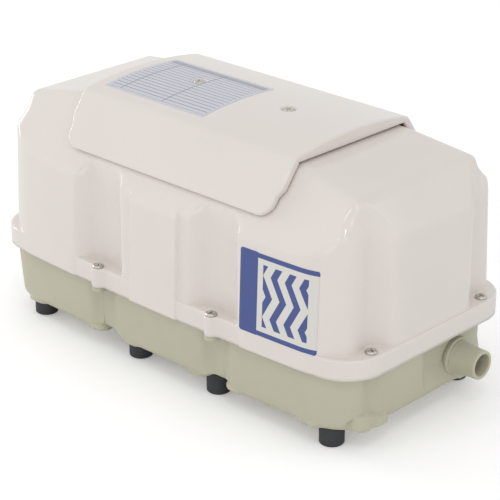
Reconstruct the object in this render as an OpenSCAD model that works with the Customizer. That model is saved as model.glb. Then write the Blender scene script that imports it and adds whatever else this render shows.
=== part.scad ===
// Linear piston air pump for ponds.
// A moulded hood with a lift-off filter cover stands on a green air tank with rubber feet.
// Two opposed piston units sit on the deck plate that closes the tank.
// X runs along the length with the outlet at +X, Y towards the back, Z up from the floor.

/* [Hood] */
// Length of the hood over its skirt
hood_length = 448; // [440:1:456]
// Depth of the hood across the middle of its bowed long sides
hood_depth = 230.6; // [228:0.2:236]
// Bow of the long sides between the corners
side_bow = 6; // [4:0.5:8]
// Corner radius of the skirt in plan
skirt_corner_r = 35; // [32:1:40]
// Height of the seam between base and hood above the floor
seam_z = 72.7; // [71:0.1:74]
// Height of the skirt band at the foot of the hood
skirt_h = 18.3; // [17:0.1:20]
// Set-back of the end walls above the skirt
end_setback = 2.5; // [1.5:0.5:3.5]
// Corner radius of the hood walls above the skirt
wall_corner_r = 52; // [48:1:54]
// Wall thickness of the hood and of the filter cover
hood_wall = 3; // [2.5:0.5:3.5]
// Height of the shoulder along the long sides
side_shoulder_z = 171; // [168:1:174]
// Inward draft of the long sides between skirt and shoulder
side_draft = 5; // [3:0.5:6]
// Height of the shoulder on the ends
end_shoulder_z = 183; // [180:1:186]
// Inward draft of the ends between skirt and shoulder
end_draft = 1.5; // [1:0.5:3]
// Height of the roof under the filter cover
roof_z = 230; // [228:1:232]
// Half depth of the roof, where the long side slopes begin
roof_half_depth = 66; // [64:1:68]
// Half length of the level part of the roof
roof_half_length = 129; // [126:1:132]
// Half length of the roof where the end slopes begin
roof_end_x = 200; // [196:1:203]
// Height of the roof where the end slopes begin
roof_end_z = 218.6; // [216:0.2:222]

/* [Recesses and pockets] */
// Distance of the side recesses and their screws from the middle
recess_x = 71.6; // [69:0.2:74]
// Width of a side recess at its floor
recess_floor_w = 36; // [32:1:40]
// Distance of the recess floor from the middle plane
recess_y = 100; // [98:1:102]
// Distance of the side screws from the middle plane
side_screw_y = 112.9; // [112:0.1:114]
// Distance of the corner screws from the middle along the length
corner_screw_x = 215; // [214:0.5:216]
// Distance of the corner screws from the middle plane
corner_screw_y = 72.9; // [71:0.1:75]
// Radius of the screw bosses
screw_boss_r = 6.5; // [6:0.1:7]
// Half width of the raised centre panel
centre_panel_half = 29; // [27:1:31]
// Depth of the lands beside the centre panel
land_depth = 2.75; // [2:0.25:3.5]

/* [Filter] */
// Height of the crown of the filter cover
cover_top_z = 243; // [242:0.5:245]
// Height of the filter cover's long edges
cover_edge_z = 236; // [235:0.5:237]
// Half depth of the filter cover at its long edges
cover_edge_y = 72; // [71:0.5:73]
// Stand-off of the draped part from the hood slope
cover_standoff = 6; // [5:0.5:7]
// Height of the lower edge of the draped part
cover_drape_z = 190; // [187:1:193]
// Running gap between filter cover and hood
cover_gap = 1.2; // [0.8:0.1:1.6]
// Distance of the filter cover screws from the middle
cover_screw_x = 55; // [50:1:60]
// Length and depth of the filter mat
filter_size = [222, 110]; // [220:1:224]
// Thickness of the filter mat
filter_h = 10; // [8:1:12]

/* [Tank] */
// Half length of the base at the seam
base_half_length = 218; // [217:0.5:219]
// Half depth of the base at the seam
base_half_depth = 110.5; // [110:0.5:111]
// Inward draft of the base from seam to floor
base_draft = 5; // [3:0.5:6]
// Height of the underside of the base above the floor
base_z = 20; // [18:1:22]
// Wall thickness of the base
base_wall = 3.5; // [3:0.5:4]
// Depth of the recesses in the base below the side screws
base_recess_depth = 8; // [6:0.5:9]
// Half width of the floor of those recesses
base_recess_half = 10; // [8:1:12]
// Radius of a rubber foot
foot_r = 11; // [10:0.5:12]
// Outer radius of the outlet pipe
outlet_r = 13.2; // [12:0.1:14]
// Bore radius of the outlet pipe
outlet_bore_r = 10; // [8:0.1:11]
// Distance of the outlet from the middle plane
outlet_y = 46; // [44:0.5:47]
// Distance of the recessed end wall behind the outlet from the middle
outlet_wall_x = 208; // [207:0.5:209]
// Height of the outlet axis
outlet_z = 44; // [43.5:0.5:46]
// Reach of the outlet pipe from the middle of the casing
outlet_reach = 240; // [232:1:250]

/* [Pump units] */
// Bore radius of a cylinder
bore_r = 28; // [26:0.5:29]
// Radial running clearance of the piston and its ring
piston_clearance = 0.06; // [0.03:0.01:0.1]
// Height of the piston axis
axis_z = 145; // [144:0.5:146]
// Radius of the piston shaft
shaft_r = 5; // [4.5:0.1:5.5]
// Wire radius of a return spring
spring_wire_r = 1.6; // [1.2:0.1:1.8]
// Turns of a return spring
spring_turns = 5; // [4:1:6]

/* [Hidden] */
SIDES = ["left", "right"];
CASING_NODES = ["tank_base", "rubber_feet", "foot_screws", "outlet_port", "outlet_seal", "outlet_nut",
    "cord_gland", "deck_gasket", "deck_plate", "deck_screws", "terminal_block", "hood", "hood_screws",
    "filter_element", "filter_cover", "filter_cover_screws"];
UNIT_NODES = ["vibration_mounts", "pump_frame", "stator_core", "coil_bobbins", "coil_windings",
    "shaft_guide", "shaft", "armature", "piston", "piston_ring", "cylinder_barrel", "valve_plate",
    "suction_flap", "discharge_flap", "cylinder_head", "head_screws", "return_spring", "spring_cap",
    "discharge_hose", "hose_clamps"];
$fn = 48;

// Colours
cream = [0.87, 0.85, 0.83];
green = [0.71, 0.70, 0.62];
black_rubber = [0.13, 0.13, 0.14];
steel = [0.72, 0.73, 0.75];
zinc = [0.62, 0.64, 0.66];
cast_alloy = [0.66, 0.67, 0.68];
copper = [0.72, 0.42, 0.22];
grey_mat = [0.42, 0.43, 0.44];
nylon = [0.90, 0.89, 0.84];
lamination = [0.33, 0.34, 0.36];

// Steps of the curves in plan
bow_steps = 8;
arc_steps = 6;
over = 1;

// The casing is shifted so that the box over hood and outlet is centred on the origin
casing_shift = -(outlet_reach - hood_length/2)/2;
hood_half = hood_depth/2;
ledge_z = seam_z + skirt_h;
end_x = hood_length/2 - end_setback;
sky_z = 400;

// Plan outline with bowed long sides and rounded corners, for half length, half depth and radius
function bowed_side(hl, hw, r) = [for (i = [0:bow_steps]) let (x = (hl - r)*(2*i/bow_steps - 1))
    [x, -hw + side_bow*pow(x/(hl - r), 2)]];
function arc_points(cx, cy, r, from, first, last) = [for (i = [first:last])
    let (a = from + 90*i/arc_steps) [cx + r*cos(a), cy + r*sin(a)]];
function half_outline(hl, hw, r) = let (cx = hl - r, cy = hw - side_bow - r) concat(
    bowed_side(hl, hw, r),
    arc_points(cx, -cy, r, -90, 1, arc_steps),
    arc_points(cx, cy, r, 0, 0, arc_steps - 1));
function outline(hl, hw, r) = let (half = half_outline(hl, hw, r)) concat(half, [for (p = half) -p]);
function mirrored(half) = concat(half,
    [for (i = [len(half) - 1:-1:0]) if (half[i][0] > 0) [-half[i][0], half[i][1]]]);

module in_casing() {
    translate([casing_shift, 0, 0]) children();
}
module slab(points, z0, z1) {
    translate([0, 0, z0]) linear_extrude(height = z1 - z0) polygon(points);
}
module along_x(points, length) {
    rotate([90, 0, 90]) linear_extrude(height = length, center = true) polygon(points);
}
module along_y(points, length) {
    rotate([90, 0, 0]) linear_extrude(height = length, center = true) polygon(points);
}
module block(low, high) {
    translate(low) cube(high - low);
}
// Round bar along +X from x0 to x1
module bar_x(r, x0, x1) {
    translate([x0, 0, 0]) rotate([0, 90, 0]) cylinder(r = r, h = x1 - x0);
}
// Pan-head screw pointing down, its head seated at z = 0, with a cross recess
screw_head_r = 5.25;
screw_head_h = 2.6;
module pan_screw(shank_r, shank_l, head_r = screw_head_r, head_h = screw_head_h) {
    slot_w = head_r*0.28;
    slot_l = head_r*1.25;
    difference() {
        union() {
            rotate_extrude() polygon([[0, 0], [head_r, 0], [head_r, head_h*0.45],
                [head_r*0.86, head_h*0.8], [head_r*0.5, head_h], [0, head_h]]);
            translate([0, 0, -shank_l]) cylinder(r = shank_r, h = shank_l + head_h/4);
        }
        for (turn = [0, 90]) rotate(turn)
            translate([-slot_l/2, -slot_w/2, head_h*0.45]) cube([slot_l, slot_w, head_h]);
    }
}

// Hood

side_slope = atan2(roof_z - side_shoulder_z, hood_half - side_draft - roof_half_depth);
end_slope = atan2(roof_end_z - end_shoulder_z, end_x - end_draft - roof_end_x);
// Half profiles across the depth and along the length, moved inwards by t, starting at height z0
function side_half(t, z0) = [[hood_half - t, z0], [hood_half - t, ledge_z],
    [hood_half - side_draft - t, side_shoulder_z - t*tan((90 - side_slope)/2)],
    [roof_half_depth - t*tan(side_slope/2), roof_z - t]];
function end_half(t, z0) = [[end_x - t, z0], [end_x - t, ledge_z],
    [end_x - end_draft - t, end_shoulder_z - t*tan((90 - end_slope)/2)],
    [roof_end_x - t*tan(end_slope/2), roof_end_z - t], [roof_half_length, roof_z - t]];
module hood_form(t, z0) {
    intersection() {
        slab(outline(end_x - t, hood_half - t, wall_corner_r - t), z0, roof_z);
        along_x(mirrored(side_half(t, z0)), 2*hood_length);
        along_y(mirrored(end_half(t, z0)), 2*hood_depth);
    }
}
module skirt_form(t, z0, z1) {
    slab(outline(hood_length/2 - t, hood_half - t, skirt_corner_r - t), z0, z1);
}
// Side recess with 45 degree sides, grown by t
recess_out_y = hood_half + 10;
function recess_half(y, t) = recess_floor_w/2 + y - recess_y + t*sqrt(2);
function recess_points(t, sy) = let (y0 = recess_y - t, a = recess_half(y0, t),
    b = recess_half(recess_out_y, t))
    [[-a, sy*y0], [a, sy*y0], [b, sy*recess_out_y], [-b, sy*recess_out_y]];
// Corner pocket: a wall facing the end, a valley, and a slanted wall up to the end wall
pocket_valley = [end_x - 16.5, 64];
pocket_wall_x = end_x - 12.75;
pocket_wall_y = 95;
pocket_end = [end_x + 12, 41];
pocket_run = pocket_end - pocket_valley;
pocket_normal = [pocket_run[1], -pocket_run[0]]/norm(pocket_run);
pocket_dip = (1 + pocket_normal[0])/pocket_normal[1];
function pocket_points(t, sx, sy) = [for (p = [
    [pocket_wall_x - t, recess_out_y], [pocket_wall_x - t, pocket_wall_y],
    pocket_valley + [-t, t*pocket_dip],
    pocket_end + t*pocket_normal, [pocket_end[0], recess_out_y]]) [sx*p[0], sy*p[1]]];
module hood_cuts(t) {
    for (sx = [-1, 1], sy = [-1, 1]) {
        translate([sx*recess_x, 0, 0]) slab(recess_points(t, sy), ledge_z - t, sky_z);
        slab(pocket_points(t, sx, sy), ledge_z - t, sky_z);
    }
}
land_out = recess_x - recess_half(hood_half, 0);
module land_zones() {
    for (sx = [-1, 1], sy = [-1, 1])
        block([min(sx*centre_panel_half, sx*land_out), min(sy*recess_y, sy*recess_out_y), ledge_z],
            [max(sx*centre_panel_half, sx*land_out), max(sy*recess_y, sy*recess_out_y), side_shoulder_z]);
}
module hood_outer() {
    skirt_form(0, seam_z, ledge_z);
    difference() {
        union() {
            difference() {
                hood_form(0, ledge_z);
                land_zones();
            }
            intersection() {
                hood_form(land_depth, ledge_z);
                land_zones();
            }
        }
        hood_cuts(0);
    }
}
module hood_cavity() {
    skirt_form(hood_wall, seam_z - over, ledge_z - hood_wall);
    difference() {
        hood_form(hood_wall, ledge_z - hood_wall - over);
        hood_cuts(hood_wall);
        land_backs();
    }
}
// Material behind the lands, so that the wall keeps its thickness there
land_back_y = hood_half - side_draft - land_depth - hood_wall;
module land_backs() {
    for (sy = [-1, 1])
        block([-land_out, min(sy*land_back_y, sy*recess_out_y), ledge_z],
            [land_out, max(sy*land_back_y, sy*recess_out_y), side_shoulder_z]);
}
hood_screw_places = concat(
    [for (sx = [-1, 1], sy = [-1, 1]) [sx*recess_x, sy*side_screw_y]],
    [for (sx = [-1, 1], sy = [-1, 1]) [sx*corner_screw_x, sy*corner_screw_y]]);
hood_screw_shank_r = 2;
hood_screw_l = skirt_h + 4;
hood_screw_hole_r = 2.4;
// Filter tray sunk into the roof, with intake slots in its floor and two posts for the cover screws
tray_half = [filter_size[0]/2 + 1, filter_size[1]/2 + 1];
tray_floor_z = roof_z - 16;
post_r = 7;
cover_seat_z = cover_top_z - screw_head_h;
post_top_z = cover_seat_z - hood_wall - cover_gap;
slot_count = 9;
slot_w = 9;
slot_pitch = 22;
slot_half_depth = 44;
module tray_posts() {
    for (sx = [-1, 1]) translate([sx*cover_screw_x, 0, tray_floor_z - hood_wall])
        cylinder(r = post_r, h = post_top_z - tray_floor_z + hood_wall);
}
module hood() {
    color(cream) in_casing() difference() {
        union() {
            difference() {
                union() {
                    difference() {
                        hood_outer();
                        hood_cavity();
                    }
                    block([-tray_half[0] - hood_wall, -tray_half[1] - hood_wall, tray_floor_z - hood_wall],
                        [tray_half[0] + hood_wall, tray_half[1] + hood_wall, roof_z - hood_wall/2]);
                }
                block([-tray_half[0], -tray_half[1], tray_floor_z], [tray_half[0], tray_half[1], sky_z]);
                for (i = [0:slot_count - 1]) let (x = (i - (slot_count - 1)/2)*slot_pitch)
                    block([x - slot_w/2, -slot_half_depth, tray_floor_z - 2*hood_wall],
                        [x + slot_w/2, slot_half_depth, tray_floor_z + over]);
            }
            tray_posts();
            for (place = hood_screw_places) translate([place[0], place[1], seam_z])
                cylinder(r = screw_boss_r, h = skirt_h);
        }
        for (place = hood_screw_places) translate([place[0], place[1], seam_z - over])
            cylinder(r = hood_screw_hole_r, h = skirt_h + 2*over);
        for (sx = [-1, 1]) translate([sx*cover_screw_x, 0, tray_floor_z + over])
            cylinder(r = cover_screw_hole_r, h = sky_z - tray_floor_z);
    }
}
module hood_screws() {
    color(steel) in_casing() for (place = hood_screw_places)
        translate([place[0], place[1], ledge_z]) pan_screw(hood_screw_shank_r, hood_screw_l);
}

// Filter

cover_screw_hole_r = 2.1;
cover_screw_shank_r = 1.75;
cover_screw_l = 20;
cover_seat_r = screw_head_r + 1;
cover_half = roof_half_length;
cover_corner_r = 14;
cover_bevel = 4;
slope_out = [sin(side_slope), cos(side_slope)];
// Point on the hood's long slope at height z, moved out by d
function on_slope(z, d) = [hood_half - side_draft - (z - side_shoulder_z)/tan(side_slope), z] + d*slope_out;
// Crown of the cover across the depth, lowered by t
crown_steps = 6;
function crown(t) = [for (i = [crown_steps:-1:0]) let (y = (cover_edge_y - t/2)*i/crown_steps)
    [y, cover_top_z - t - (cover_top_z - cover_edge_z)*pow(i/crown_steps, 2)]];
cover_outer_half = concat([on_slope(cover_drape_z, cover_gap), on_slope(cover_drape_z, cover_standoff - 2),
    on_slope(cover_drape_z + 3, cover_standoff)], crown(0));
cover_lip = 7;
cover_hollow_half = concat([on_slope(cover_drape_z + cover_lip, 0),
    on_slope(cover_drape_z + cover_lip, cover_standoff - hood_wall)], crown(hood_wall));
// Outline of the cover seen from the front: rounded lower corners and bevelled upper edges
cover_front = mirrored(concat(
    arc_points(cover_half - cover_corner_r, cover_drape_z + cover_corner_r - over, cover_corner_r, -90, 0,
        arc_steps),
    [[cover_half, roof_z + 2], [cover_half - cover_bevel, cover_top_z + over]]));
// Everything of the hood under the cover, grown by the running gap
module hood_under_cover() {
    along_x(mirrored([[hood_half, side_shoulder_z - 20], on_slope(side_shoulder_z, cover_gap),
        [roof_half_depth, roof_z] + cover_gap*[tan(side_slope/2), 1]]), 3*cover_half);
}
module filter_cover() {
    color(cream) in_casing() difference() {
        intersection() {
            along_x(mirrored(cover_outer_half), 2*cover_half);
            along_y(cover_front, 2*hood_depth);
        }
        hood_under_cover();
        difference() {
            along_x(mirrored(cover_hollow_half), 2*(cover_half - hood_wall - cover_bevel/2));
            for (sx = [-1, 1]) translate([sx*cover_screw_x, 0, roof_z])
                cylinder(r = cover_seat_r + 2, h = 2*screw_head_h + cover_top_z - roof_z);
        }
        for (sx = [-1, 1]) translate([sx*cover_screw_x, 0, 0]) {
            translate([0, 0, roof_z - over])
                cylinder(r = post_r + 0.5, h = post_top_z + cover_gap - roof_z + over);
            translate([0, 0, roof_z]) cylinder(r = cover_screw_hole_r, h = cover_top_z);
            translate([0, 0, cover_seat_z]) cylinder(r = cover_seat_r, h = cover_top_z);
        }
    }
}
module filter_cover_screws() {
    color(steel) in_casing() for (sx = [-1, 1])
        translate([sx*cover_screw_x, 0, cover_seat_z]) pan_screw(cover_screw_shank_r, cover_screw_l);
}
module filter_element() {
    color(grey_mat) in_casing() difference() {
        block([-filter_size[0]/2, -filter_size[1]/2, tray_floor_z],
            [filter_size[0]/2, filter_size[1]/2, tray_floor_z + filter_h]);
        for (sx = [-1, 1]) translate([sx*cover_screw_x, 0, tray_floor_z - over])
            cylinder(r = post_r + 0.5, h = filter_h + 2*over);
    }
}

// Tank base, feet and outlet

base_corner_r = 36;
base_fillet = 6;
lip_half = [203, 97];
lip_corner_r = 30;
lip_wall = 8;
seam_gap = 0.3;
base_top_z = seam_z - seam_gap;
lip_top_z = seam_z + 5.3;
function base_half_profile(half, t) = [[half - base_draft - base_fillet - t, base_z + t],
    [half - base_draft - base_fillet*0.3 - t, base_z + base_fillet*0.3 + t],
    [half - base_draft - t, base_z + base_fillet + t], [half - t, base_top_z]];
module base_form(t, z1) {
    intersection() {
        slab(outline(base_half_length - t, base_half_depth - t, base_corner_r - t), base_z + t, z1);
        along_x(mirrored(base_half_profile(base_half_depth, t)), 2*hood_length);
        along_y(mirrored(base_half_profile(base_half_length, t)), 2*hood_depth);
    }
}
base_recess_y = base_half_depth - base_recess_depth;
function base_recess_points(t, sy) = let (y0 = base_recess_y - t, a = base_recess_half + 0.414*t,
    b = a + recess_out_y - y0)
    [[-a, sy*y0], [a, sy*y0], [b, sy*recess_out_y], [-b, sy*recess_out_y]];
module base_recesses(t) {
    for (sx = [-1, 1], sy = [-1, 1])
        translate([sx*recess_x, 0, 0]) slab(base_recess_points(t, sy), base_z - over, seam_z + over);
    slab(outlet_recess_points(t), base_z - over, seam_z + over);
}
// Screw lugs under the hood bosses
lug_h = 4.5;
lug_r = 6;
corner_lug_r = 5;
lug_root = 3;
lug_hole_h = lug_h - 0.3;
lug_root_y = base_recess_y - 2;
// Step in the end wall round the outlet: a 45 degree side, a flat wall and a rounded corner, grown by t
outlet_step_y = 1.5;
outlet_bend_r = 36;
outlet_bend_y = 69;
outlet_bend_end = 60;
outlet_collar_r = 17;
outlet_collar_h = 4.5;
outlet_ring_r = 15;
outlet_ring_h = 2.5;
outlet_out_x = base_half_length + 10;
function outlet_bend_point(t, a) = [outlet_wall_x - outlet_bend_r, outlet_bend_y]
    + (outlet_bend_r - t)*[cos(a), sin(a)];
outlet_bend_way = [-sin(outlet_bend_end), cos(outlet_bend_end)];
function outlet_recess_points(t) = let (x0 = outlet_wall_x - t, y0 = outlet_step_y - 0.414*t,
    beyond = outlet_bend_point(t, outlet_bend_end) + outlet_bend_r*outlet_bend_way)
    concat([[outlet_out_x, y0 - outlet_out_x + x0], [x0, y0]],
    [for (a = [0:10:outlet_bend_end]) outlet_bend_point(t, a)], [beyond, [outlet_out_x, beyond[1]]]);
outlet_hole_r = outlet_r + 0.2;
gland_x = -150;
gland_z = 48;
gland_r = 7;
gland_flange_r = 10;
gland_bore_r = 4.2;
gland_flange_y = 2.4;
gland_flange_h = 3.6;
gland_y = base_half_depth - 5.5;
foot_places = [for (sx = [-1, 1], sy = [-1, 1], x = [183.3, 50.2]) [sx*x, sy*83]];
foot_boss_r = 8;
foot_boss_h = 12;
foot_screw_r = 2;
foot_hole_r = 2.2;
foot_head_depth = 8;
foot_head_r = 5;
module at_outlet() {
    translate([0, outlet_y, outlet_z]) children();
}
module tank_base() {
    color(green) in_casing() difference() {
        union() {
            difference() {
                union() {
                    difference() {
                        base_form(0, base_top_z);
                        base_recesses(0);
                    }
                    slab(outline(lip_half[0], lip_half[1], lip_corner_r), base_top_z - over, lip_top_z);
                }
                difference() {
                    base_form(base_wall, base_top_z - base_wall);
                    base_recesses(base_wall);
                }
                slab(outline(lip_half[0] - lip_wall, lip_half[1] - lip_wall, lip_corner_r - lip_wall),
                    base_top_z - base_wall - over, lip_top_z + over);
            }
            for (place = hood_screw_places) translate([place[0], place[1], base_top_z - lug_h])
                cylinder(r = abs(place[0]) > recess_x ? corner_lug_r : lug_r, h = lug_h);
            for (sx = [-1, 1], sy = [-1, 1]) translate([sx*recess_x, 0, base_top_z - lug_h])
                block([-lug_r, min(sy*lug_root_y, sy*side_screw_y), 0],
                    [lug_r, max(sy*lug_root_y, sy*side_screw_y), lug_h]);
            block([outlet_wall_x - lug_root, corner_screw_y - corner_lug_r, base_top_z - lug_h],
                [corner_screw_x, corner_screw_y + corner_lug_r, base_top_z]);
            for (place = foot_places) translate([place[0], place[1], base_z + base_wall - over])
                cylinder(r = foot_boss_r, h = foot_boss_h);
        }
        at_outlet() bar_x(outlet_hole_r, outlet_wall_x - 2*base_wall, outlet_wall_x + over);
        translate([gland_x, gland_y, gland_z]) rotate([90, 0, 0])
            cylinder(r = gland_r + 0.1, h = 40, center = true);
        for (place = hood_screw_places) translate([place[0], place[1], base_top_z - lug_hole_h])
            cylinder(r = hood_screw_hole_r, h = lug_hole_h + over);
        for (place = foot_places) translate([place[0], place[1], base_z - over])
            cylinder(r = foot_hole_r, h = base_wall + foot_boss_h - 1);
        for (place = deck_screw_places) translate([place[0], place[1], lip_top_z - deck_screw_l])
            cylinder(r = deck_hole_r, h = deck_screw_l + over);
    }
}
module rubber_feet() {
    color(black_rubber) in_casing() for (place = foot_places) translate([place[0], place[1], 0])
        difference() {
            rotate_extrude() polygon([[0, 0], [foot_r - 1.5, 0], [foot_r - 0.4, 1], [foot_r, 2.5],
                [foot_r, base_z], [0, base_z]]);
            translate([0, 0, -over]) cylinder(r = foot_hole_r, h = base_z + 2*over);
            translate([0, 0, -over]) cylinder(r = foot_head_r + 0.5, h = foot_head_depth + over);
        }
}
module foot_screws() {
    color(zinc) in_casing() for (place = foot_places) translate([place[0], place[1], foot_head_depth])
        rotate([180, 0, 0]) pan_screw(foot_screw_r, base_z + base_wall - 2, foot_head_r, 2.4);
}
outlet_inner_x = outlet_wall_x - 16;
outlet_nut_h = 6;
outlet_nut_r = 19;
outlet_nut_x = outlet_wall_x - base_wall - outlet_nut_h;
seal_h = 1.5;
collar_face_x = outlet_wall_x + seal_h + outlet_collar_h;
module outlet_port() {
    color(green) in_casing() at_outlet() difference() {
        union() {
            bar_x(outlet_r, outlet_inner_x, outlet_reach);
            bar_x(outlet_collar_r, outlet_wall_x + seal_h, collar_face_x);
            bar_x(outlet_ring_r, outlet_wall_x + seal_h, collar_face_x + outlet_ring_h);
        }
        bar_x(outlet_bore_r, outlet_inner_x - over, outlet_reach + over);
    }
}
module outlet_seal() {
    color(black_rubber) in_casing() at_outlet() difference() {
        bar_x(outlet_collar_r - 0.5, outlet_wall_x, outlet_wall_x + seal_h);
        bar_x(outlet_r, outlet_wall_x - over, outlet_wall_x + seal_h + over);
    }
}
module outlet_nut() {
    color(green) in_casing() at_outlet() translate([outlet_nut_x, 0, 0]) rotate([0, 90, 0]) difference() {
        cylinder(r = outlet_nut_r, h = outlet_nut_h, $fn = 6);
        translate([0, 0, -over]) cylinder(r = outlet_r, h = outlet_nut_h + 2*over);
    }
}
module cord_gland() {
    color(black_rubber) in_casing() translate([gland_x, gland_y, gland_z]) rotate([-90, 0, 0]) difference() {
        union() {
            translate([0, 0, -base_wall - 6]) cylinder(r = gland_r, h = base_wall + 12);
            translate([0, 0, gland_flange_y]) cylinder(r = gland_flange_r, h = gland_flange_h);
        }
        translate([0, 0, -20]) cylinder(r = gland_bore_r, h = 40);
    }
}

// Deck

gasket_h = 2;
deck_z = lip_top_z + gasket_h;
deck_h = 3;
deck_top_z = deck_z + deck_h;
deck_screw_r = 1.7;
deck_hole_r = 1.9;
deck_screw_l = 14;
lip_mid = lip_half - [lip_wall/2, lip_wall/2];
deck_screw_places = concat(
    [for (sx = [-1, 1], sy = [-1, 1], x = [50, 140])
        [sx*x, sy*(lip_mid[1] - side_bow*pow(x/(lip_half[0] - lip_corner_r), 2))]],
    [for (sx = [-1, 1], y = [-40, 40]) [sx*lip_mid[0], y]]);
module deck_ring_holes() {
    for (place = deck_screw_places) translate([place[0], place[1], lip_top_z - over])
        cylinder(r = deck_hole_r, h = gasket_h + deck_h + 2*over);
}
module deck_gasket() {
    color(black_rubber) in_casing() difference() {
        slab(outline(lip_half[0], lip_half[1], lip_corner_r), lip_top_z, deck_z);
        slab(outline(lip_half[0] - lip_wall, lip_half[1] - lip_wall, lip_corner_r - lip_wall),
            lip_top_z - over, deck_z + over);
        deck_ring_holes();
    }
}
module deck_plate() {
    color(zinc) in_casing() difference() {
        union() {
            slab(outline(lip_half[0], lip_half[1], lip_corner_r), deck_z, deck_top_z);
            for (side = SIDES) facing(side) translate([hose_x, hose_y, deck_z])
                cylinder(r = hose_bore_r, h = deck_spigot_top - deck_z);
        }
        for (side = SIDES) facing(side) translate([hose_x, hose_y, deck_z - over])
            cylinder(r = spigot_bore_r, h = deck_spigot_top);
        deck_ring_holes();
    }
}
module deck_screws() {
    color(steel) in_casing() for (place = deck_screw_places)
        translate([place[0], place[1], deck_top_z]) pan_screw(deck_screw_r, deck_screw_l, 3.6, 2);
}
terminal_half = [22, 10];
terminal_y = 74;
terminal_h = 18;
module terminal_block() {
    color(nylon) in_casing() difference() {
        block([-terminal_half[0], terminal_y - terminal_half[1], deck_top_z],
            [terminal_half[0], terminal_y + terminal_half[1], deck_top_z + terminal_h]);
        for (x = [-15, -5, 5, 15]) translate([x, terminal_y, deck_top_z + terminal_h - 8])
            cylinder(r = 3, h = 8 + over);
        for (x = [-10, 0, 10]) block([x - 0.5, terminal_y - 2*terminal_half[1], deck_top_z + terminal_h - 5],
            [x + 0.5, terminal_y + 2*terminal_half[1], deck_top_z + terminal_h + over]);
    }
}

// Pump units, drawn for the right side and mirrored for the left

module facing(side) {
    mirror([side == "left" ? 1 : 0, 0, 0]) children();
}
module unit(side) {
    in_casing() facing(side) children();
}
module on_axis() {
    translate([0, 0, axis_z]) children();
}
core_half = [46, 44];
mount_h = 14;
mount_r = 9;
mount_stud_r = 3;
frame_z = deck_top_z + mount_h;
frame_h = axis_z - core_half[1] - frame_z;
frame_x = [24, 186];
frame_half_y = 52;
mount_places = [for (x = [36, 150], sy = [-1, 1]) [x, sy*42]];
module vibration_mounts(side) {
    color(black_rubber) unit(side) for (place = mount_places) translate([place[0], place[1], deck_top_z]) {
        rotate_extrude() polygon([[0, 0], [mount_r, 0], [mount_r, 2], [mount_r - 1.5, mount_h/2],
            [mount_r, mount_h - 2], [mount_r, mount_h], [0, mount_h]]);
        cylinder(r = mount_stud_r, h = mount_h + frame_h + 5);
    }
}
bracket_x = [26, 31];
bracket_half_y = 26;
bracket_top = 24;
wall_x = [122, 128];
wall_half = 44;
rib_y = 40;
guide_r = 9;
module pump_frame(side) {
    color(cast_alloy) unit(side) difference() {
        union() {
            block([frame_x[0], -frame_half_y, frame_z], [frame_x[1], frame_half_y, frame_z + frame_h]);
            block([bracket_x[0], -bracket_half_y, frame_z], [bracket_x[1], bracket_half_y, axis_z]);
            on_axis() bar_x(bracket_half_y, bracket_x[0], bracket_x[1]);
            block([wall_x[0], -wall_half, frame_z], [wall_x[1], wall_half, axis_z + wall_half]);
            for (sy = [-1, 1]) translate([0, sy*rib_y, 0])
                block([wall_x[1] - over, -2, frame_z], [wall_x[1] + 12, 2, axis_z - 20]);
        }
        on_axis() bar_x(guide_r, bracket_x[0] - over, bracket_x[1] + over);
        on_axis() bar_x(liner_r, wall_x[0] - over, wall_x[1] + over);
        for (place = mount_places) translate([place[0], place[1], frame_z - over])
            cylinder(r = mount_stud_r + 0.2, h = frame_h + 2*over);
        translate([hose_x, hose_y, frame_z - over]) cylinder(r = clamp_r + 3, h = frame_h + 2*over);
    }
}

// Magnet circuit: a closed core with an upper and a lower pole, and a coil round each pole
core_x = [62, 102];
core_window = [36, 34];
pole_half = 18;
armature_half = 18;
air_gap = 1.2;
pole_face = armature_half + air_gap;
bobbin_half = 34;
bobbin_over = 12;
bobbin_z = [21, 33.5];
bobbin_flange = 1.5;
module stator_core(side) {
    color(lamination) unit(side) on_axis() {
        difference() {
            block([core_x[0], -core_half[0], -core_half[1]], [core_x[1], core_half[0], core_half[1]]);
            block([core_x[0] - over, -core_window[0], -core_window[1]],
                [core_x[1] + over, core_window[0], core_window[1]]);
        }
        for (sz = [-1, 1]) block([core_x[0], -pole_half, min(sz*pole_face, sz*(core_window[1] + over))],
            [core_x[1], pole_half, max(sz*pole_face, sz*(core_window[1] + over))]);
    }
}
// Rectangular ring round a pole between two heights, from inner to outer away from the pole
module pole_ring(sz, z0, z1, inner, outer) {
    difference() {
        block([core_x[0] - min(outer, bobbin_over), -pole_half - outer, min(sz*z0, sz*z1)],
            [core_x[1] + min(outer, bobbin_over), pole_half + outer, max(sz*z0, sz*z1)]);
        block([core_x[0] - inner, -pole_half - inner, min(sz*z0, sz*z1) - over],
            [core_x[1] + inner, pole_half + inner, max(sz*z0, sz*z1) + over]);
    }
}
bobbin_gap = 0.3;
bobbin_skin = 1.8;
coil_out = bobbin_half - pole_half - 2;
module coil_bobbins(side) {
    color(nylon) unit(side) on_axis() for (sz = [-1, 1]) {
        pole_ring(sz, bobbin_z[0], bobbin_z[0] + bobbin_flange, bobbin_gap, bobbin_half - pole_half);
        pole_ring(sz, bobbin_z[0], bobbin_z[1], bobbin_gap, bobbin_skin);
        pole_ring(sz, bobbin_z[1] - bobbin_flange, bobbin_z[1], bobbin_gap, bobbin_half - pole_half);
    }
}
module coil_windings(side) {
    color(copper) unit(side) on_axis() for (sz = [-1, 1])
        pole_ring(sz, bobbin_z[0] + bobbin_flange, bobbin_z[1] - bobbin_flange, bobbin_skin, coil_out);
}

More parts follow.
